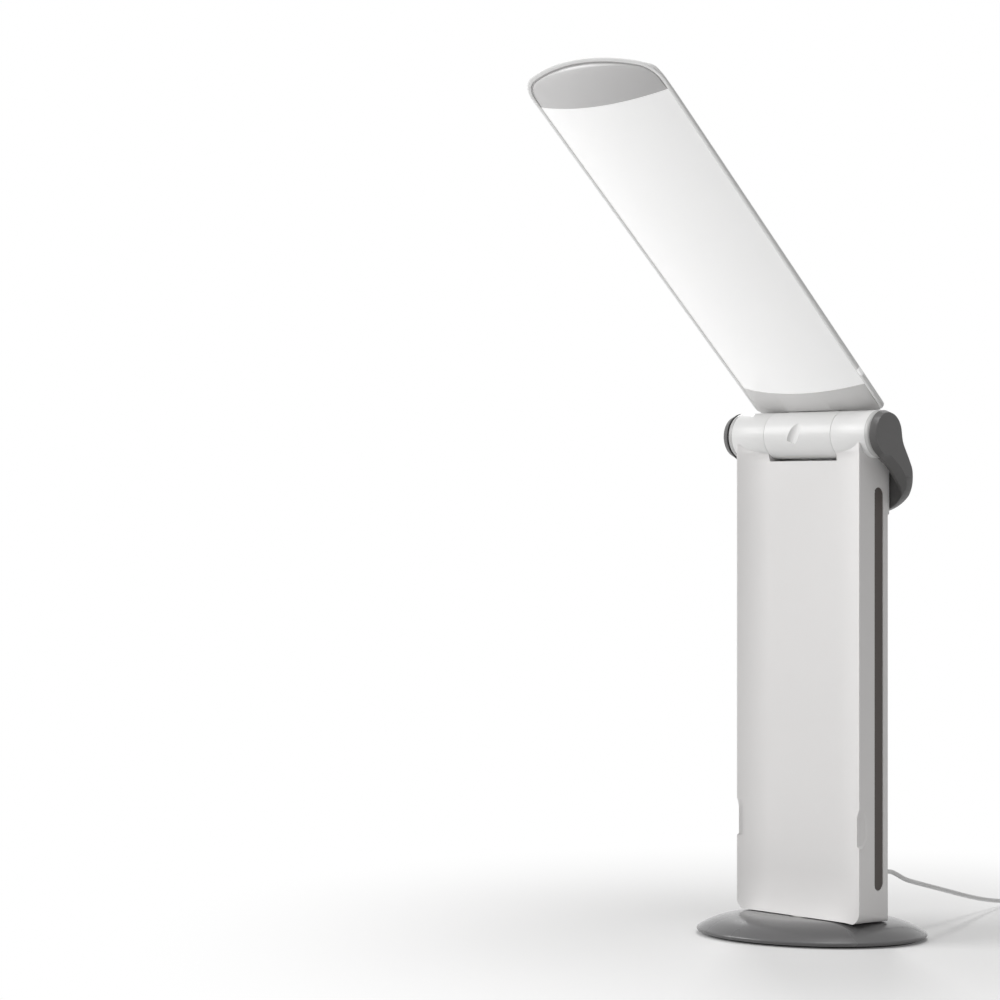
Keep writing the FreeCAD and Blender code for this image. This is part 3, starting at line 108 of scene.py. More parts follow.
droop = np.array([
    (46.0, 23.8, 47.4), (46.0, 30.6, 47.4), (46.0, 38.6, 44.3), (46.0, 48.5, 39.6),
    (45.6, 60.0, 36.4), (43.6, 80.0, 31.4), (40.0, 104.0, 25.6), (35.4, 128.0, 19.8),
    (30.0, 152.0, 14.2), (25.0, 176.0, 9.2), (20.6, 200.0, 5.0), (17.4, 224.0, 2.1),
    (16.0, 246.0, 1.7),
]) / 1000.0
print("route from", droop[0], "to", droop[-1])

# %% [markdown]
# The length that the picture doesn't show is wound into a neat round coil beside the plug-in
# supply, as for storage. The turns could be copies of one ring, but a real coil is one lead, so
# they are more points of the same spline. Each layer has three turns, side by side, and the lead
# steps from one to the next in the last part of a turn.

# %% Turns of the coil
COIL_CENTRE = np.array([0.0384, 0.258])
COIL_RADII = np.array([22.4, 19.2, 16.0]) / 1000.0
LAYERS = 4
TURN_POINTS = 16
FIRST_HEIGHT = 1.06
STEP_SHARE = 0.2


def coil_points():
    """Clockwise turns: each layer runs inwards or outwards by one lead per turn.

    The angle runs on evenly, and radius and height blend from one turn's value to the next.
    The height of a layer is the lead's radius times FIRST_HEIGHT plus 2 for each layer below."""
    radii = np.concatenate([COIL_RADII if layer % 2 == 0 else COIL_RADII[::-1]
                            for layer in range(LAYERS)])
    layer_heights = LEAD_RADIUS * (FIRST_HEIGHT + 2.0 * np.arange(LAYERS))
    heights = np.repeat(layer_heights, len(COIL_RADII))
    turns = len(radii)
    t = np.arange(1, turns * TURN_POINTS) / TURN_POINTS
    whole = np.minimum(t.astype(int), turns - 1)
    after = np.minimum(whole + 1, turns - 1)
    blend = np.clip((t - whole - (1.0 - STEP_SHARE)) / STEP_SHARE, 0.0, 1.0)
    radius = radii[whole] * (1 - blend) + radii[after] * blend
    height = heights[whole] * (1 - blend) + heights[after] * blend
    angle = math.pi - 2 * math.pi * t
    return np.column_stack([COIL_CENTRE[0] + radius * np.cos(angle),
                            COIL_CENTRE[1] + radius * np.sin(angle), height])


wound = coil_points()
print("coil points", wound.shape[0])

# %% [markdown]
# The last turn ends on top of the coil. From there the lead runs down to the relief of the supply,
# so a few more listed points finish the spline. The order of the spline is set once all its
# points are in, because Blender limits it to the number of points it has at that moment.

# %% Lay the lead
settle = np.array([(16.0, 260.0, 12.6), (16.0, 272.0, 11.2), (16.0, 284.0, 8.6),
                   (16.0, 294.0, 6.4), (16.0, 304.0, 5.0)]) / 1000.0
route = np.vstack([droop, wound, settle])
lead_curve = bpy.data.curves.new("lead", "CURVE")
lead_curve.dimensions = "3D"
spline = lead_curve.splines.new("NURBS")
spline.points.add(len(route) - 1)
spline.points.foreach_set("co", np.column_stack([route, np.ones(len(route))]).ravel())
spline.order_u = 3
spline.use_endpoint_u = True
lead_curve.resolution_u = 6
lead_curve.bevel_depth = LEAD_RADIUS
lead_curve.bevel_resolution = 5
lead = bpy.data.objects.new("lead", lead_curve)
scene.collection.objects.link(lead)
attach(lead, "column")
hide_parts("cord_tube", "cord_coil")
print("lead has", len(route), "points")

# %% [markdown]
# ## Light
# The lamp was photographed in soft light from the left: the front of the column is bright, its
# side is in half shade. Soft light could come from many small lamps; one large square each gives
# the same soft edges. The key stands left of the camera, near enough to make the top brighter than
# the foot. A much weaker one fills from the right. One hangs above on the camera's side, for what
# faces up. One behind on the left lights the back and lets the shadow fall forwards.

# %% Soft lamps
MIDDLE = (0.0, 0.0, 0.28)


def soft_lamp(name, size, power, place):
    """Square area lamp at a place, turned towards the middle of the lamp."""
    data = bpy.data.lights.new(name, "AREA")
    data.shape = "SQUARE"
    data.size = size
    data.energy = power
    lamp = bpy.data.objects.new(name, data)
    lamp.location = place
    lamp.rotation_euler = (Vector(MIDDLE) - Vector(place)).to_track_quat("-Z", "Y").to_euler()
    scene.collection.objects.link(lamp)


soft_lamp("key_lamp", 0.8, 13.6, (-0.80, -1.12, 0.95))
soft_lamp("fill_lamp", 1.4, 0.15, (1.9, -0.6, 0.8))
soft_lamp("top_lamp", 0.8, 9.5, (0.36, -0.36, 1.8))
soft_lamp("back_lamp", 0.5, 14.0, (-1.1, 1.2, 1.5))

# %% [markdown]
# ## World
# The world gives an even level from all sides. What the camera, a reflection or a clear part sees
# of it is plain white. A stronger world would be white too, but it would wash out the lamp, so the
# rays are told apart: the Light Path node says of each ray what it is for.

# %% Helpers for shader nodes
def add_node(tree, kind, values=None):
    """Shader node of a kind, with values for some of its sockets."""
    made = tree.nodes.new("ShaderNode" + kind)
    for socket, value in (values or {}).items():
        made.inputs[socket].default_value = value
    return made


def blend_shaders(tree, share, first, second):
    """Mix of two shaders: the first where the share is 0, the second where it is 1."""
    mixed = add_node(tree, "MixShader")
    tree.links.new(share, mixed.inputs[0])
    tree.links.new(first.outputs[0], mixed.inputs[1])
    tree.links.new(second.outputs[0], mixed.inputs[2])
    return mixed


def shows_plain(tree):
    """1 for rays from the camera, from a mirror or through glass: the largest of the three."""
    path = add_node(tree, "LightPath")
    largest = path.outputs["Is Camera Ray"]
    for kind in ("Is Glossy Ray", "Is Transmission Ray"):
        pair = add_node(tree, "Math")
        pair.operation = "MAXIMUM"
        tree.links.new(largest, pair.inputs[0])
        tree.links.new(path.outputs[kind], pair.inputs[1])
        largest = pair.outputs[0]
    return largest


print("node helpers ready")

# %% World
EVEN_TINT = (1.0, 0.985, 0.97, 1.0)
EVEN_LEVEL = 0.22
WHITE = (1.0, 1.0, 1.0, 1.0)

world = bpy.data.worlds.new("studio")
scene.world = world
world.use_nodes = True
tree = world.node_tree
tree.nodes.clear()
out = add_node(tree, "OutputWorld")
even = add_node(tree, "Background", {"Color": EVEN_TINT, "Strength": EVEN_LEVEL})
plain = add_node(tree, "Background", {"Color": WHITE, "Strength": 1.0})
pick = blend_shaders(tree, shows_plain(tree), even, plain)
tree.links.new(pick.outputs[0], out.inputs[0])
print("world with", len(tree.nodes), "nodes")

# %% [markdown]
# ## Table
# The picture has no visible table, only white with a soft shadow close to the lamp. A curved
# backdrop would hide the horizon from one side alone. So a big plane carries the shadow, and away
# from the lamp it turns into plain white of its own: a round gradient on the plane's object
# coordinates blends from one to the other, and that looks the same from every side.

# %% Table plane
TABLE_HALF = 12.0


def flat_square(name, half):
    """Single square face on the ground: four corners at plus and minus the half width."""
    signs = np.array([(-1, -1), (1, -1), (1, 1), (-1, 1)], float)
    verts = np.column_stack([signs * half, np.zeros(4)])
    mesh = bpy.data.meshes.new(name)
    mesh.from_pydata(verts.tolist(), [], [(0, 1, 2, 3)])
    made = bpy.data.objects.new(name, mesh)
    scene.collection.objects.link(made)
    return made


table_top = flat_square("table_top", TABLE_HALF)
print("table", table_top.dimensions[:2])

# %% [markdown]
# Its shade near the lamp is a pale matt colour with a little light of its own. Rays that carry
# light to the lamp see one even pale colour instead, so that the gradient doesn't light it.

# %% Shade of the table
BOUNCE = (0.80, 0.80, 0.80, 1.0)
NEAR_COLOUR = (0.74, 0.74, 0.74, 1.0)
NEAR_GLOW = 0.10
FADE_START, FADE_END = 0.11, 0.50

white = bpy.data.materials.new("table_white")
white.use_nodes = True
tree = white.node_tree
tree.nodes.clear()
out = add_node(tree, "OutputMaterial")
matt = add_node(tree, "BsdfDiffuse", {"Color": BOUNCE})
glowing = add_node(tree, "Emission", {"Strength": NEAR_GLOW})
shaded = add_node(tree, "BsdfDiffuse", {"Color": NEAR_COLOUR})
near = add_node(tree, "AddShader")
tree.links.new(glowing.outputs[0], near.inputs[0])
tree.links.new(shaded.outputs[0], near.inputs[1])
plain = add_node(tree, "Emission", {"Strength": 1.0})
place = add_node(tree, "TexCoord")
reach = add_node(tree, "VectorMath")
reach.operation = "LENGTH"
fade = add_node(tree, "MapRange", {"From Min": FADE_START, "From Max": FADE_END})
fade.interpolation_type = "SMOOTHSTEP"
tree.links.new(place.outputs["Object"], reach.inputs[0])
tree.links.new(reach.outputs["Value"], fade.inputs["Value"])
seen = blend_shaders(tree, fade.outputs["Result"], near, plain)
pick = blend_shaders(tree, shows_plain(tree), matt, seen)
tree.links.new(pick.outputs[0], out.inputs[0])
table_top.data.materials.append(white)
print("table shade with", len(tree.nodes), "nodes")

# %% [markdown]
# ## Finishes
# Almost all of the lamp is moulded plastic. One colour and one roughness would do, but they look
# like a drawing. Real mouldings are never quite even: the mould leaves a fine grain, the colour
# drifts by a hair, and the gloss varies where the plastic flowed. Each finish here is a Principled
# shader with a fine noise for the grain and a slow one for gloss and colour, all on the piece's own
# object coordinates, so that they move with it.

# %% Plastic
FLOW_SCALE = 9.0
ROUGHNESS_SWING = 0.05
SPECULAR = 0.45


def noise_node(tree, coords, scale, detail, rough=0.5):
    """Noise texture on given coordinates."""
    noise = add_node(tree, "TexNoise", {"Scale": scale, "Detail": detail, "Roughness": rough})
    tree.links.new(coords, noise.inputs["Vector"])
    return noise


def shifted(colour, factor):
    """Colour times a factor, with each part at most 1."""
    return tuple(min(c * factor, 1.0) for c in colour) + (1.0,)


def moulded(name, colour, roughness, grain, depth, drift=0.02, coat=0.0, metal=0.0):
    """Plastic, paint or metal. grain is the size of its texture in mm, and depth its strength.

    The bump's distance is a twelfth of the grain. Colour drifts by plus and minus the share given
    as drift, and roughness swings by an even amount both ways, on one slow noise."""
    made = bpy.data.materials.new(name)
    made.use_nodes = True
    tree = made.node_tree
    shader = tree.nodes["Principled BSDF"]
    place = add_node(tree, "TexCoord").outputs["Object"]
    slow = noise_node(tree, place, FLOW_SCALE, 2.0)
    tint = tree.nodes.new("ShaderNodeMix")
    tint.data_type = "RGBA"
    tint.inputs["A"].default_value = shifted(colour, 1.0 - drift)
    tint.inputs["B"].default_value = shifted(colour, 1.0 + drift)
    tree.links.new(slow.outputs["Fac"], tint.inputs["Factor"])
    tree.links.new(tint.outputs["Result"], shader.inputs["Base Color"])
    swing = add_node(tree, "MapRange", {"To Min": roughness - ROUGHNESS_SWING,
                                        "To Max": roughness + ROUGHNESS_SWING})
    tree.links.new(slow.outputs["Fac"], swing.inputs["Value"])
    tree.links.new(swing.outputs["Result"], shader.inputs["Roughness"])
    fine = noise_node(tree, place, 1000.0 / grain, 3.0, 0.6)
    bump = add_node(tree, "Bump", {"Strength": depth, "Distance": grain / 12000.0})
    tree.links.new(fine.outputs["Fac"], bump.inputs["Height"])
    tree.links.new(bump.outputs["Normal"], shader.inputs["Normal"])
    shader.inputs["Metallic"].default_value = metal
    shader.inputs["Coat Weight"].default_value = coat
    shader.inputs["Specular IOR Level"].default_value = SPECULAR
    return made


print("finish helper ready")

# %% [markdown]
# The outside is white, in a few shades that the photograph tells apart, with grey trim and a dark
# foot and handle. The ring and root finishes are painted shade: white plastic given a greyer
# colour where it sits in shade. The foot is glossier than the rest and gets a thin clear coat. The
# recipes are a table of colour, roughness, grain and depth, and one loop makes the materials.

# %% Outside finishes
outside = {
    "housing": ((0.80, 0.79, 0.785), 0.36, 0.5, 0.35),
    "cover": ((0.76, 0.76, 0.755), 0.42, 0.7, 0.5),
    "barrel": ((0.79, 0.79, 0.785), 0.34, 0.5, 0.3),
    "knuckle": ((0.79, 0.79, 0.785), 0.34, 0.5, 0.3),
    "shell": ((0.84, 0.84, 0.835), 0.34, 0.5, 0.35),
    # ring: painted shade, the barrel's white end ring made mid grey where it sits in shade
    "ring": ((0.50, 0.50, 0.495), 0.38, 0.6, 0.4),
    # root: painted shade, the head's white root cover made greyer where it faces down into shade
    "root": ((0.68, 0.675, 0.67), 0.38, 0.6, 0.4),
    "tip": ((0.60, 0.595, 0.595), 0.26, 0.6, 0.3, 0.03),
    "base_top": ((0.118, 0.117, 0.119), 0.27, 0.9, 0.7, 0.05, 0.35),
    "base_bottom": ((0.02, 0.02, 0.02), 0.55, 1.0, 0.8),
    "grip": ((0.105, 0.103, 0.102), 0.34, 1.0, 0.8, 0.05),
    "strip": ((0.084, 0.071, 0.064), 0.62, 0.8, 0.9, 0.06),
    "mat": ((0.018, 0.018, 0.018), 0.82, 1.4, 1.0, 0.1),
    "lead": ((0.47, 0.47, 0.465), 0.42, 0.6, 0.4, 0.03),
    "supply": ((0.62, 0.62, 0.61), 0.46, 0.9, 0.7),
    "black_part": ((0.02, 0.02, 0.022), 0.5, 0.8, 0.6),
}
finishes = {name: moulded(name, *recipe) for name, recipe in outside.items()}
print(len(finishes), "finishes outside")

# %% [markdown]
# What is inside or underneath shows only when the lamp is taken apart, but it is made as well:
# the white light tray, slippery washers, green and white boards, and turned or plated metal.

# %% Inside finishes
inside = {
    "tray": ((0.85, 0.85, 0.84), 0.5, 0.8, 0.4),
    "slip": ((0.75, 0.75, 0.70), 0.3, 0.6, 0.2),
    "button": ((0.72, 0.72, 0.72), 0.3, 0.5, 0.2),
    "board": ((0.72, 0.74, 0.72), 0.28, 1.2, 0.3),
    "driver": ((0.03, 0.16, 0.07), 0.30, 1.2, 0.5, 0.12),
    "led": ((0.85, 0.72, 0.25), 0.25, 0.6, 0.2),
}
metals = {
    "steel": ((0.56, 0.56, 0.57), 0.32, 0.4, 0.3),
    "ballast": ((0.42, 0.42, 0.43), 0.48, 1.5, 0.6),
    "spigot": ((0.62, 0.62, 0.64), 0.28, 0.3, 0.4),
    "pin": ((0.70, 0.68, 0.63), 0.22, 0.4, 0.2),
}
for name, recipe in inside.items():
    finishes[name] = moulded(name, *recipe)
for name, recipe in metals.items():
    finishes[name] = moulded(name, *recipe, metal=1.0)
print(len(finishes), "finishes in all")

# %% [markdown]
# The window is opal plastic, lit from behind by two rows of light sources. Real light through a
# cloudy sheet would take long to render. It glows evenly, so it is a white plastic with a little
# light of its own.

# %% Opal window
GLOW_COLOUR = (1.0, 1.0, 0.995, 1.0)
GLOW = 0.26

finishes["opal"] = moulded("opal", (0.80, 0.80, 0.80), 0.30, 0.8, 0.1, drift=0.005)
opal_shader = finishes["opal"].node_tree.nodes["Principled BSDF"]
opal_shader.inputs["Emission Color"].default_value = GLOW_COLOUR
opal_shader.inputs["Emission Strength"].default_value = GLOW
print("opal glows at", GLOW)

# %% [markdown]
# Every solid names the finish that it wants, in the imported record. So the solids are dressed by a
# loop over that record, and not one by one.

# %% Finishes on the carried-over solids
slot_of = {part["node"]: part["material_slot"] for part in frame["record"]["subparts"]}
for name, node in nodes.items():
    node.data.materials.clear()
    node.data.materials.append(finishes[slot_of[name]])
print("finished", len(slot_of), "nodes")

# %% [markdown]
# ## Surfaces from grids of points
# A moulded housing is a smooth surface. It could be pushed into shape by hand, but then no measure
# is exact. Here its points are worked out as whole numpy arrays: every patch is a grid of rows and
# columns. The patches meet at shared edges, where doubled points are welded, and the faces are
# turned outwards at the end. All measures from here on are in millimetres.

# %% From grids to a mesh
MM = 0.001
AXIS = 355.0                            # height of the hinge axis
WELD_DISTANCE, SLIVER = 0.004, 0.002
SHARP_ANGLE = math.radians(32.0)


def grid_quads(rows, cols):
    """Corner numbers of the quads between neighbouring rows and columns of a grid."""
    at = np.arange(rows * cols).reshape(rows, cols)
    return np.stack([at[:-1, :-1], at[:-1, 1:], at[1:, 1:], at[1:, :-1]], -1).reshape(-1, 4)


def welded_mesh(name, patches, caps):
    """Grids of points and flat caps as one mesh, its faces outwards; and its open edges."""
    points, faces, start = [], [], 0
    for grid in patches:
        rows, cols = grid.shape[:2]
        points.append(grid.reshape(-1, 3))
        faces += (grid_quads(rows, cols) + start).tolist()
        start += rows * cols
    for ring in caps:
        points.append(ring)
        faces.append(list(range(start, start + len(ring))))
        start += len(ring)
    mesh = bpy.data.meshes.new(name)
    mesh.from_pydata((np.vstack(points) * MM).tolist(), [], faces)
    work = bmesh.new()
    work.from_mesh(mesh)
    bmesh.ops.remove_doubles(work, verts=work.verts, dist=WELD_DISTANCE * MM)
    bmesh.ops.dissolve_degenerate(work, edges=work.edges, dist=SLIVER * MM)
    bmesh.ops.recalc_face_normals(work, faces=work.faces)
    open_edges = sum(1 for edge in work.edges if len(edge.link_faces) != 2)
    work.to_mesh(mesh)
    work.free()
    return mesh, open_edges


def surface(name, patches, body, slot, stands_for, caps=()):
    """Piece made of grids of points: shaded smooth, riding on a body, in its finish."""
    mesh, open_edges = welded_mesh(name, patches, caps)
    mesh.shade_smooth()
    mesh.set_sharp_from_angle(angle=SHARP_ANGLE)
    made = bpy.data.objects.new(name, mesh)
    scene.collection.objects.link(made)
    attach(made, body)
    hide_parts(stands_for)
    made.data.materials.append(finishes[slot])
    low, high = np.array(made.bound_box).min(0), np.array(made.bound_box).max(0)
    print(name, len(mesh.polygons), "faces,", open_edges, "open edges, box",
          np.round(low / MM, 1), np.round(high / MM, 1))


def steps(*stops):
    """Rising row positions: each pair gives an end and the number of steps up to it."""
    row = [np.array([stops[0]], float)]
    for end, count in zip(stops[1::2], stops[2::2]):
        row.append(np.linspace(row[-1][-1], end, count + 1)[1:])
    return np.concatenate(row)


print("grid helpers ready")

# %% [markdown]
# ## Column housing
# The real housing is one moulding: a shallow trough runs down its front, sweeps out forwards at
# the foot and curls up under the barrel at the top. In the solid model these forms meet in creases;
# in the photograph they flow into each other. So the front is one height over the upright plane:
# each form adds a forward reach, and a soft union keeps the sum within the front edges.

# %% Forms of the column's front
HALF = 55.0                             # half the width
BACK = 16.8                             # plane of the back
TROUGH = -9.2                           # plane of the trough's floor
RIDGE = 7.4                             # reach of the front edges ahead of that floor
LEVEL_HALF = 30.7                       # half the width of the floor
TOE_TOP, TOE_RUN, TOE_RISE = 47.0, 32.0, 6.4
COVE_BELOW, COVE_RUN, COVE_RADIUS = 17.59, 5.72, 8.0    # it starts that far below the axis


def arc_reach(run, length, rise):
    """Rise of a round arc that starts level and has climbed by a given rise after a length."""
    bend = (length ** 2 + rise ** 2) / (2 * rise)
    return bend - np.sqrt(bend ** 2 - np.clip(run, 0.0, length) ** 2)


def soft_union(a, b):
    """a + b - a*b/ridge: either form alone, and never more than the ridge where both are."""
    return a + b - a * b / RIDGE


def front_reach(x, z):
    """How far the front stands ahead of the trough's floor: edges, toe and cove together."""
    edge = arc_reach(np.abs(x) - LEVEL_HALF, HALF - LEVEL_HALF, RIDGE)
    toe = arc_reach(TOE_TOP - z, TOE_RUN, TOE_RISE)
    rise = np.clip(z - AXIS + COVE_BELOW, 0.0, COVE_RUN)
    cove = COVE_RADIUS - np.sqrt(COVE_RADIUS ** 2 - rise ** 2)
    return soft_union(soft_union(edge, toe), cove)


def edge_round(x, radius):
    """Depth that a rounded upright edge gives away near the sides: radius less a circle."""
    over = np.clip(np.abs(x) - HALF + radius, 0.0, radius)
    return radius - np.sqrt(radius ** 2 - over ** 2)


print("reach at the foot", round(float(front_reach(0.0, 15.0)), 2), "mm")

# %% [markdown]
# The foot of the column follows the round dome of the base with half a millimetre of air, and its
# lower corners are rounded, widely in front and hardly at the back. A cutter could give it that
# shape; a height for every point of the sole is exact and leaves no slivers.

# %% Foot of the column
DOME_ARCS = ((42.0, -75.0, 90.0, 22.0), (50.75, -40.3, 54.2, 31.25))
DOME_JOIN = 64.0
AIR = 0.5
FRONT_CORNER, BACK_CORNER = 10.0, 1.5   # radii of the lower corners
FOOT_FRONT, FOOT_DEPTH = -18.6, 36.4


def dome(radius):
    """Height of the base's dome: level middle, then two arcs that continue each other.

    Each arc has the radius and height of its centre, its bend and its reach:
    centre height + sqrt(bend^2 - distance from the centre's radius^2)."""
    first, second = (height + np.sqrt(bend ** 2 - np.clip(radius - centre, 0.0, run) ** 2)
                     for centre, height, bend, run in DOME_ARCS)
    return np.where(radius > DOME_JOIN, second, first)


def foot_level(x, y):
    """Underside of the column: over the dome, rising round the lower corners."""
    backwards = np.clip((y - FOOT_FRONT) / FOOT_DEPTH, 0.0, 1.0)
    radius = FRONT_CORNER - (FRONT_CORNER - BACK_CORNER) * backwards
    over = np.clip(np.abs(x) - HALF + radius, 0.0, radius)
    corner = dome(np.array(HALF)) + AIR + radius - np.sqrt(radius ** 2 - over ** 2)
    return np.maximum(dome(np.hypot(x, y)) + AIR, np.where(over > 0, corner, 0.0))


print("foot", np.round(foot_level(np.array([0.0, 50.0, 55.0]), -16.0), 2))

# %% [markdown]
# The top is cut round the barrel, with a deeper slot where the knuckle turns. The slot has a level
# floor in front and a cup round the knuckle behind.

# %% Top of the column
CRADLE, SHOULDER = 16.7, 6.0            # radius, and the edge's drop below the axis
SLOT_HALF, SLOT_FLOOR, SLOT_FRONT = 29.9, 18.3, 2.5
CUP, CUP_TOP = 17.4, 11.0


def below_axis(y, radius):
    """Height of the lower half of a round bore about the hinge axis: -sqrt(radius^2 - y^2)."""
    return -np.sqrt(np.clip(radius ** 2 - y ** 2, 0, None))


def top_level(x, y):
    """Upper side of the column: round the barrel, or the floor and cup of the knuckle's slot."""
    cradle = np.minimum(np.where(np.abs(y) < CRADLE, below_axis(y, CRADLE), 0.0), -SHOULDER)
    cup = np.minimum(below_axis(y, CUP), -CUP_TOP)
    slot = np.where(y < SLOT_FRONT, -SLOT_FLOOR, cup)
    return AXIS + np.where(np.abs(x) < SLOT_HALF, slot, cradle)


print("top", np.round(top_level(np.array([0.0, 50.0]), -16.0), 2))

# %% [markdown]
# Each side carries a finger notch at its front edge and a recess for the soft strip. Both are
# depths over the side's plane. The notch grows deeper towards the front, runs out softly at its
# upper end and ends in a crisp curled lip below. The recess is a stadium with steep walls.

# %% Depths of the sides
NOTCH_MIDDLE, NOTCH_HALF, NOTCH_BACK = 81.5, 13.5, -7.6
NOTCH_CURL, NOTCH_LIP, NOTCH_DEPTH = 7.0, 1.3, 2.0
SLOPE_BACK, SLOPE_RUN = -6.8, 8.9
RUNOUT_TOP, RUNOUT_RUN = 95.0, 6.0
STRIP_MIDDLE, STRIP_HALF = 6.1, 4.9
STRIP_LOW, STRIP_TOP = 41.9, 313.1
RECESS_DEPTH, RECESS_WALL = 1.4, 0.12


def notch_depth(y, z):
    """Depth of the finger notch: its slope towards the front, times its outline and run-out.

    The outline is the distance to a rectangle with round corners, open to the front."""
    dy = y - NOTCH_BACK + NOTCH_CURL
    dz = np.abs(z - NOTCH_MIDDLE) - NOTCH_HALF + NOTCH_CURL
    within = np.minimum(np.maximum(dy, dz), 0.0)
    away = np.hypot(np.maximum(dy, 0.0), np.maximum(dz, 0.0)) + within - NOTCH_CURL
    lip = np.clip(-away / NOTCH_LIP, 0.0, 1.0)
    slope = np.clip((SLOPE_BACK - y) / SLOPE_RUN, 0.0, 1.0) ** 0.5
    runout = np.clip((RUNOUT_TOP - z) / RUNOUT_RUN, 0.0, 1.0) ** 0.8
    return NOTCH_DEPTH * lip * slope * runout


def recess_depth(y, z):
    """Depth of the strip's recess: full inside a stadium along the side, none outside it."""
    away = np.hypot(y - STRIP_MIDDLE, z - np.clip(z, STRIP_LOW, STRIP_TOP)) - STRIP_HALF
    return RECESS_DEPTH * np.clip(0.5 - away / RECESS_WALL, 0.0, 1.0)


print("notch", round(float(notch_depth(-15.0, NOTCH_MIDDLE)), 2), "mm deep")

# %% [markdown]
# The rows of the wall run from the foot to the top, close together where the form changes fast.
# They are fixed heights in between, squeezed at both ends so that they follow the curved edges.

# %% Rows and columns of the housing
ROW_LOW, SQUEEZE_LOW, SQUEEZE_TOP, ROW_TOP = 15.0, 25.0, 336.0, 349.0
FRONT_EDGE = -15.7
SHARE_RUN = 8.0

rows = steps(ROW_LOW, SQUEEZE_LOW, 9, 25.9, 1, 26.1, 1, 36.0, 4, 47.5, 40, 66.0, 8, 97.0, 62,
             307.0, 26, 319.0, 40, 334.9, 5, 335.1, 1, SQUEEZE_TOP, 1, ROW_TOP, 12)
half_row = steps(0.0, 28.0, 10, 29.88, 1, 29.92, 1, 52.5, 18, 53.8, 2, 54.0, 1, HALF, 8)
across = np.concatenate([-half_row[:0:-1], half_row])
deep = steps(FRONT_EDGE, -6.0, 22, 1.0, 4, 1.4, 6, 10.8, 9, 11.2, 6, 16.2, 5)
share = np.clip(1.0 - (deep - FRONT_EDGE) / SHARE_RUN, 0.0, 1.0)


def wall_heights(low, high):
    """Rows between a lower and an upper edge, stretched to them beyond the squeeze heights."""
    row = rows[:, None]
    up = (row - ROW_LOW) / (SQUEEZE_LOW - ROW_LOW)
    over = (row - SQUEEZE_TOP) / (ROW_TOP - SQUEEZE_TOP)
    z = np.where(row < SQUEEZE_LOW, low + up * (SQUEEZE_LOW - low), row)
    return np.where(row > SQUEEZE_TOP, SQUEEZE_TOP + over * (high - SQUEEZE_TOP), z)


print(len(rows), "rows,", len(across), "across,", len(deep), "deep")

# %% [markdown]
# The front's lower and upper edges lie on the foot and the top, whose height depends on the
# front's depth, which depends on the height again. No formula solves that at once, but repeating
# the two in turn settles it.

# %% Front and its edges
FRONT_ROUND = 0.9
GIVE_WIDTH = 4.0
ROUNDS = 25


def front_line(x, z):
    """Front face: the trough less its forward reach, rounded at the edges and drawn in with its
    own ridge where a notch cuts the edge."""
    at_edge = np.clip((np.abs(x) - (HALF - GIVE_WIDTH)) / GIVE_WIDTH, 0.0, 1.0)
    give = notch_depth(FRONT_EDGE, z) * at_edge
    return x - np.sign(x) * give, TROUGH - front_reach(x, z) + edge_round(x, FRONT_ROUND)


def settled(x, level):
    """Edge of the front: its depth and height, repeated in turn from a first guess."""
    z = np.full_like(x, SQUEEZE_LOW)
    for _ in range(ROUNDS):
        y = front_line(x, z)[1]
        z = level(x, y)
    return y, z


front_low_y, front_low_z = settled(across, foot_level)
front_top_y, front_top_z = settled(across, top_level)
heights = wall_heights(front_low_z[None, :], front_top_z[None, :])
front_x, front_y = front_line(np.broadcast_to(across, heights.shape), heights)
front_wall = np.stack([front_x, front_y, heights], -1)
print("front edge runs from", round(front_low_z.min(), 2), "to", round(front_top_z.max(), 2))

# %% [markdown]
# The back is flat, with a shallow seat all over it for the rear cover.

# %% Back
BACK_ROUND = 0.6
SEAT_HALF, SEAT_LOW, SEAT_TOP, SEAT_PLANE = 53.9, 26.0, 335.0, 14.2

back_y = BACK - edge_round(across, BACK_ROUND)
heights = wall_heights(foot_level(across, back_y)[None, :], top_level(across, back_y)[None, :])
seat = (np.abs(across)[None, :] < SEAT_HALF) & (heights > SEAT_LOW) & (heights < SEAT_TOP)
back_wall = np.stack([np.broadcast_to(across, heights.shape),
                      np.where(seat, SEAT_PLANE, back_y[None, :]), heights], -1)
print("seat for the cover", round(BACK - SEAT_PLANE, 1), "mm deep")

# %% [markdown]
# Sides, sole and top run from the front edge to the back one. They share their edge rows with
# front and back, and together the six patches close the housing.

# %% Sides, sole and top
def plan_depths(edge):
    """Depths between the front edge and the back: the first 8 mm take up the difference."""
    return deep[None, :] + (edge - FRONT_EDGE) * share[None, :]


def level_patch(edge_y, level):
    """Sole or top: every column from the front edge to the back one, at its own height."""
    y = plan_depths(edge_y[:, None])
    y[:, -1] = back_y
    x = np.broadcast_to(across[:, None], y.shape)
    return np.stack([x, y, level(x, y)], -1)


sole = level_patch(front_low_y, foot_level)
top = level_patch(front_top_y, top_level)


def side_wall(sign):
    """Side: the plane of the side less the depths of notch and recess."""
    z = wall_heights(sole[-1][None, :, 2], top[-1][None, :, 2])
    y = plan_depths(front_line(np.array(HALF), z[:, :1])[1])
    y[:, -1] = back_y[-1]
    x = HALF - notch_depth(deep[None, :], z) - recess_depth(y, z)
    return np.stack([sign * x, y, z], -1)


surface("column_skin", [front_wall, back_wall, side_wall(1.0), side_wall(-1.0), sole, top],
        "column", "housing", "column_housing")

# %% [markdown]
# ## Base top
# The base is a shallow oval dome. Turning a profile with a modifier and scaling it would press the
# round bore to an oval too. So its section is one closed profile carried round the middle, pressed
# to an oval only outside the bore, and turned by 29 degrees. A tight curve at the rim catches the
# light as a thin line.

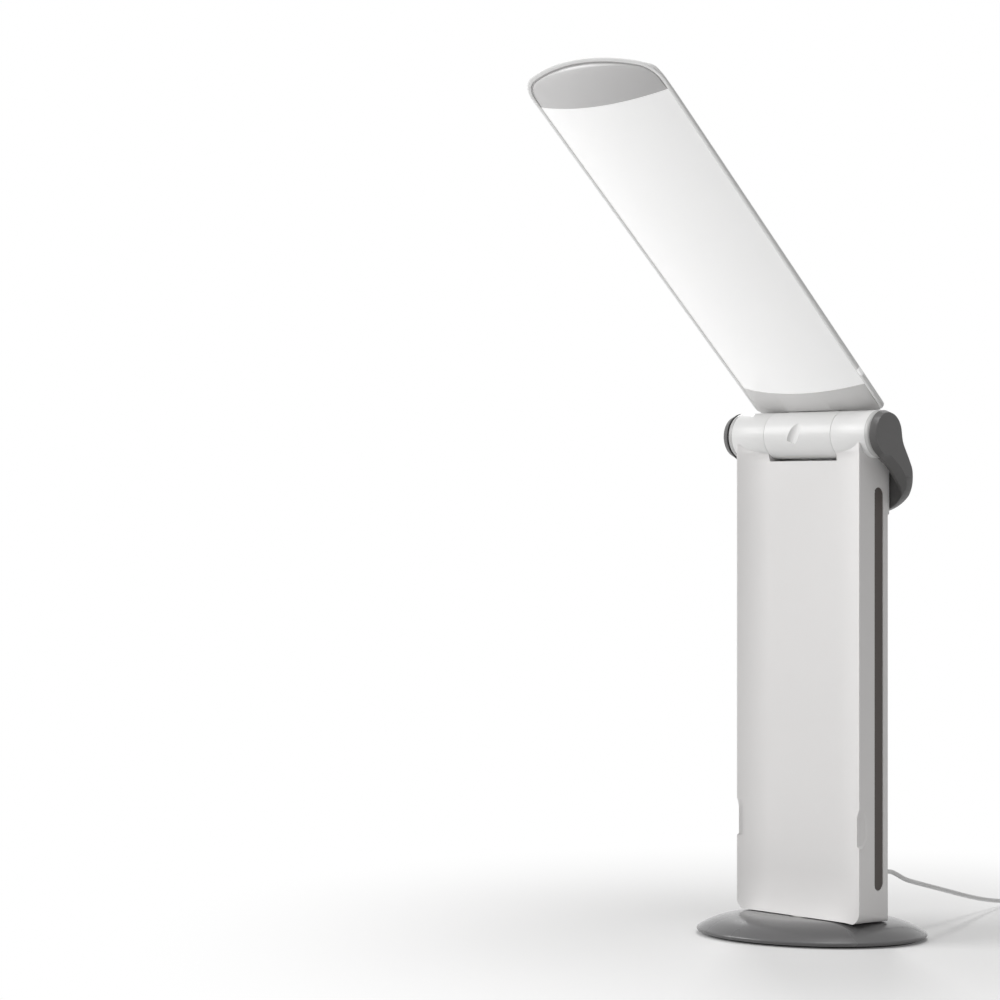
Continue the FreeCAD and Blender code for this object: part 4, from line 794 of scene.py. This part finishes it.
# %% Profile of the base
SHELL = 2.6
outer = steps(42.0, DOME_JOIN, 10, 80.4, 12)
inner = steps(78.6, DOME_JOIN, 8, 42.0, 8, 19.0, 3)
profile = np.vstack([
    [(11.6, 6.6), (11.6, 14.7), (11.9, 15.0), (20.0, 15.0), (32.0, 15.0)],
    np.column_stack([outer, dome(outer)]),
    [(81.0, 4.75), (81.5, 4.4), (81.85, 3.95), (81.95, 3.45), (81.8, 2.95), (81.3, 2.3),
     (80.7, 1.8), (80.1, 1.6), (79.2, 1.6), (78.9, 2.1)],
    np.column_stack([inner, dome(inner) - SHELL]),
    [(17.5, 12.2), (17.5, 6.6), (11.6, 6.6)],
])
print("profile", len(profile), "points")

# %% Base top
TURNED = math.radians(29.0)
LONG_HALF, SHORT_HALF = 82.0, 56.5
BORE_WALL, PRESS_RUN = 19.0, 12.0

around = np.linspace(0.0, 2 * math.pi, 145)[None, :]
radius = profile[:, :1]
outside_bore = np.clip((radius - BORE_WALL) / PRESS_RUN, 0.0, 1.0)
press = 1.0 - (1.0 - SHORT_HALF / LONG_HALF) * outside_bore
long_way, short_way = radius * np.cos(around), radius * press * np.sin(around)
base_grid = np.stack([long_way * math.cos(TURNED) - short_way * math.sin(TURNED),
                      long_way * math.sin(TURNED) + short_way * math.cos(TURNED),
                      np.broadcast_to(profile[:, 1:], long_way.shape)], -1)
surface("base_dome", [base_grid], "base", "base_top", "base_shell")

# %% [markdown]
# ## Lamp head
# The head is a thin tray of white plastic, open on its lit side: straight sides that spread a
# little towards the tip, a bowed tip with wide corners, a flat rim, and a domed back. Its outline
# is drawn once, of lines and arcs. The rim is that outline carried through a small profile, and the
# back closes it from the outline in to a line along the middle. The head is drawn upright and then
# leaned, because upright measures are easier to read.

# %% Measures of the head
LEAN = math.radians(49.0)
RIM = 19.74                             # plane of the rim, from the hinge axis
ROOT, TIP = 4.04, 339.36                # both ends, along the head
TIP_HALF, ROOT_HALF = 59.36, 56.96
TIP_BOW, TIP_CORNER, ROOT_CORNER = 14.0, 20.0, 4.0

bow_bend = (TIP_HALF ** 2 + TIP_BOW ** 2) / (2 * TIP_BOW)
corner_x = TIP_HALF - TIP_CORNER
corner_z = TIP - bow_bend + math.sqrt((bow_bend - TIP_CORNER) ** 2 - corner_x ** 2)
join = math.atan2(corner_z - TIP + bow_bend, corner_x)
print("bow of the tip bends at", round(bow_bend, 1), "mm")


# %% Outline of the head
def arc_points(cx, cz, radius, start, end, count):
    """Points of an arc from a start to an end angle, in radians."""
    angle = np.linspace(start, end, count)
    return np.column_stack([cx + radius * np.cos(angle), cz + radius * np.sin(angle)])


def half_at(z):
    """Half the head's width at a place along it: an even spread from the root to the tip."""
    return ROOT_HALF + (TIP_HALF - ROOT_HALF) * (z - ROOT) / (corner_z - ROOT)


side_z = np.linspace(ROOT + ROOT_CORNER, corner_z, 60)[1:-1]
root_x = np.linspace(0.0, ROOT_HALF - ROOT_CORNER, 14)[:-1]
right_side = np.vstack([
    np.column_stack([root_x, np.full_like(root_x, ROOT)]),
    arc_points(ROOT_HALF - ROOT_CORNER, ROOT + ROOT_CORNER, ROOT_CORNER, -math.pi / 2, 0.0, 9),
    np.column_stack([half_at(side_z), side_z]),
    arc_points(corner_x, corner_z, TIP_CORNER, 0.0, join, 18)[:-1],
    arc_points(0.0, TIP - bow_bend, bow_bend, join, math.pi / 2, 18),
])
outline = np.vstack([right_side, right_side[-2:0:-1] * (-1, 1)])
along = np.roll(outline, -1, 0) - np.roll(outline, 1, 0)
along /= np.hypot(along[:, :1], along[:, 1:])
outward = np.column_stack([along[:, 1], -along[:, 0]])
print("outline", len(outline), "points, tip", outline[:, 1].max())

# %% [markdown]
# The back is an arc across the head and falls in an arc towards both ends. Where the two meet, a
# plain minimum would leave creases; a mean of high order rounds them off.

# %% Domed back
CROWN, FALL = 16.3, 44.0                # highest rise, and the length of its fall to an end
SIDE_WALL, TIP_WALL = 1.3, 0.46
THIN_START, THIN_RUN = 300.0, 36.0
LEAST = 0.02
WALL, INNER_LEAST = 1.8, 1.66
LINE_LOW, LINE_TOP = ROOT + 52.0, TIP - 56.0    # ends of the middle line


def edge_wall(z):
    """Height of the outer wall over the rim: even along the sides, lower towards the tip."""
    return SIDE_WALL + (TIP_WALL - SIDE_WALL) * np.clip((z - THIN_START) / THIN_RUN, 0.0, 1.0)


def back_height(x, z):
    """Height of the back over the rim: edge + rise * (a^-3 + b^-3 - 1)^(-1/3).

    a is the bow across and b the fall towards the nearer end, both from 0 to 1."""
    edge = edge_wall(z)
    bow = 1.0 - (np.abs(x) / (TIP_HALF + 1.0)) ** 2
    tip_here = TIP - arc_reach(np.abs(x), TIP_HALF, TIP_BOW)
    end = np.minimum(z - ROOT, tip_here - z)
    fall = 1.0 - (1.0 - np.clip(end / FALL, 0.0, 1.0)) ** 2
    a, b = np.clip(bow, LEAST, 1.0), np.clip(fall, LEAST, 1.0)
    return edge + (CROWN - edge) * (a ** -3 + b ** -3 - 1.0) ** (-1.0 / 3.0)


def inset_outline(depth):
    """The outline drawn in along its own normals, closed."""
    ring = outline - outward * depth
    return np.vstack([ring, ring[:1]])


def closing_patch(depth, drop, least):
    """From an inset outline in to the middle line, at the back's height less a wall."""
    ring = inset_outline(depth)
    t = np.sin(np.linspace(0.0, math.pi / 2, 22))[:, None]
    line_z = np.clip(ring[:, 1], LINE_LOW, LINE_TOP)[None, :]
    x = ring[None, :, 0] * (1.0 - t)
    z = ring[None, :, 1] * (1.0 - t) + line_z * t
    return np.stack([x, RIM + np.maximum(back_height(x, z) - drop, least), z], -1)


outer_back = closing_patch(0.0, 0.0, 0.0)
inner_back = closing_patch(WALL, WALL, INNER_LEAST)
print("back stands", round(outer_back[..., 1].max() - RIM, 1), "mm over the rim")

# %% [markdown]
# The rim runs from the outer wall over a rounded edge, across a flat face and round a small inner
# edge, and then back under itself to the tray's inner wall. Each ring is the outline at one depth
# and height, so the same few numbers give the whole rim.

# %% Rim and tray
EDGE_IN, EDGE_UP = 1.3, 1.0
rim_inside = [(2.6, 0.0), (2.86, 0.1), (3.0, 0.36), (3.0, 1.6), (WALL, 1.6)]
arc = np.linspace(0.0, math.pi / 2, 7)
outer_round = np.column_stack([EDGE_IN * (1.0 - np.cos(arc)), EDGE_UP * (1.0 - np.sin(arc))])
wall_share = edge_wall(inset_outline(0.0)[:, 1]) / SIDE_WALL


def rim_ring(depth, height):
    """The outline drawn in by a depth and raised over the rim's plane by a height."""
    ring = inset_outline(depth)
    return np.column_stack([ring[:, 0], RIM + height * np.ones(len(ring)), ring[:, 1]])


def leaned(points):
    """From the upright head to the leaning one: turned about the hinge axis and raised to it."""
    x, y, z = points[..., 0], points[..., 1], points[..., 2]
    return np.stack([x, y * math.cos(LEAN) - z * math.sin(LEAN),
                     y * math.sin(LEAN) + z * math.cos(LEAN) + AXIS], -1)


rim_band = np.stack([outer_back[0]]
                    + [rim_ring(depth, height * wall_share) for depth, height in outer_round]
                    + [rim_ring(depth, height) for depth, height in rim_inside]
                    + [inner_back[0]])
surface("head_tray", [leaned(outer_back), leaned(rim_band), leaned(inner_back)],
        "head", "shell", "head_shell")

# %% [markdown]
# Between the window's end and the rim sits a grey nose. Across, it continues the bow of the
# window; along the head, the bow sinks like a quarter of an ellipse, and a narrow groove with a
# ledge separates it from the rim. Its points lie closer where it bends more, at the sides and at
# the groove, because they follow a sine.

# %% Nose
NOSE_START, NOSE_HALF = 305.5, 56.2
BULGE, EDGE_SINK, LEFT_OVER = 7.7, 0.6, 0.06
RIM_WIDTH, GROOVE = 3.0, 1.4
LEDGE_UP, NOSE_BACK = 1.0, 2.2
LEAST_EDGE, LEAST_LEDGE = NOSE_START + 0.5, NOSE_START + 0.8


def outline_height(x, depth):
    """Where the inset outline of the tip stands over a place across the head."""
    ring = inset_outline(depth)[:len(right_side)]
    upper = ring[ring[:, 1] > corner_z - 2.0]
    order = np.argsort(upper[:, 0])
    return np.interp(np.abs(x), upper[order, 0], upper[order, 1], right=LEAST_LEDGE)


nose_x = NOSE_HALF * np.sin(np.linspace(-math.pi / 2, math.pi / 2, 81))
edge_z = np.maximum(outline_height(nose_x, RIM_WIDTH + GROOVE), LEAST_EDGE)
ledge_z = np.maximum(outline_height(nose_x, RIM_WIDTH + 0.1), LEAST_LEDGE)
swell = BULGE * (1.0 - (nose_x / (NOSE_HALF + 0.1)) ** 2)
v = np.sin(np.linspace(0.0, math.pi / 2, 26))[:, None]
sunk = LEFT_OVER + (1.0 - LEFT_OVER) * np.sqrt(1.0 - v ** 2)
bowed = np.stack([np.broadcast_to(nose_x, (len(v), len(nose_x))),
                  RIM + EDGE_SINK - swell * sunk,
                  NOSE_START + v * (edge_z - NOSE_START)[None, :]], -1)
print("nose ends at", round(edge_z.max(), 1), "mm along the head")

# %% [markdown]
# The nose is closed by straight rows: down into the groove, out along its floor, and back behind
# to the start. A flat cap closes each side.

# %% Close the nose
def nose_row(height, z):
    """Straight row across at one height over the rim."""
    return np.stack([nose_x, np.full_like(nose_x, RIM + height), z], -1)[None]


start_z = np.full_like(nose_x, NOSE_START)
nose_loop = np.vstack([bowed, nose_row(LEDGE_UP, edge_z), nose_row(LEDGE_UP, ledge_z),
                       nose_row(NOSE_BACK, ledge_z), nose_row(NOSE_BACK, start_z), bowed[:1]])
surface("tip_nose", [leaned(nose_loop)], "head", "tip", "tip_cap",
        caps=[leaned(nose_loop[:-1, 0]), leaned(nose_loop[:-1, -1])])

# %% [markdown]
# ## Window
# The opal window is a thin sheet, bowed across like the nose. A bent plane with Solidify would do,
# but its edges have to run along the rim exactly. So its section is one closed loop of a lit side
# and a back, carried along the head and widening with it.

# %% Window sheet
SHEET = 1.8
SHEET_LOW, SHEET_TOP = 30.0, 305.4
SHEET_INSET = 3.06

sheet_u = np.sin(np.linspace(-math.pi / 2, math.pi / 2, 61))
sheet_bow = EDGE_SINK - BULGE * (1.0 - sheet_u ** 2)
loop_u = np.concatenate([sheet_u, sheet_u[::-1], sheet_u[:1]])
loop_y = np.concatenate([sheet_bow, sheet_bow[::-1] + SHEET, sheet_bow[:1]])
sheet_z = np.linspace(SHEET_LOW, SHEET_TOP, 29)[:, None]
sheet_x = loop_u[None, :] * (half_at(sheet_z) - SHEET_INSET)
sheet_grid = np.stack([sheet_x, np.broadcast_to(RIM + loop_y[None, :], sheet_x.shape),
                       np.broadcast_to(sheet_z, sheet_x.shape)], -1)
print("window", round(SHEET_TOP - SHEET_LOW, 1), "mm long")

# %% [markdown]
# At the right edge a small lug of the window snaps through the rim. It is a rounded block: a sphere
# whose sines and cosines are raised to a low power, which pushes it out towards a box.

# %% Lug and window
LUG_PLACE = (56.35, RIM + 1.15, 41.5)
LUG_HALVES = (1.3, 1.2, 3.4)
LUG_POWER = 0.35


def softened(value):
    """A sine or cosine raised to the lug's power, with its sign kept."""
    return np.sign(value) * np.abs(value) ** LUG_POWER


def rounded_block(centre, halves):
    """Block with soft edges: each half size times softened sines and cosines of a sphere."""
    tilt = np.linspace(-math.pi / 2, math.pi / 2, 13)[:, None]
    turn = np.linspace(0.0, 2 * math.pi, 25)[None, :]
    x = softened(np.cos(tilt)) * softened(np.cos(turn))
    y = softened(np.cos(tilt)) * softened(np.sin(turn))
    z = np.broadcast_to(softened(np.sin(tilt)), x.shape)
    return np.array(centre) + np.stack([x, y, z], -1) * np.array(halves)


surface("window_sheet", [leaned(sheet_grid), leaned(rounded_block(LUG_PLACE, LUG_HALVES))],
        "head", "opal", "diffuser",
        caps=[leaned(sheet_grid[0, :-1]), leaned(sheet_grid[-1, :-1])])

# %% [markdown]
# ## Softer edges on the solids
# The other solids keep their shape. No moulding has a knife edge, and a sharp edge catches no
# light. A narrow bevel gives those that show the small radius of the real ones, and hardened
# normals keep the flat faces flat. A solid comes as loose triangles, so a weld goes before it.

# %% Bevels
WELD_SOLID = 0.00002
BEVEL_ANGLE = math.radians(40.0)

soft_edges = {"barrel_sleeve_right": 0.3, "barrel_sleeve_left": 0.3, "root_cover": 0.3,
              "rear_cover": 0.35, "adapter_body": 1.2, "handle": 0.4, "cord_gland": 0.4}
for name, width in soft_edges.items():
    weld = nodes[name].modifiers.new("weld", "WELD")
    weld.merge_threshold = WELD_SOLID
    bevel = nodes[name].modifiers.new("soft_edge", "BEVEL")
    bevel.width = width * MM
    bevel.segments = 3
    bevel.limit_method = "ANGLE"
    bevel.angle_limit = BEVEL_ANGLE
    bevel.harden_normals = True
print("bevels on", len(soft_edges), "solids")
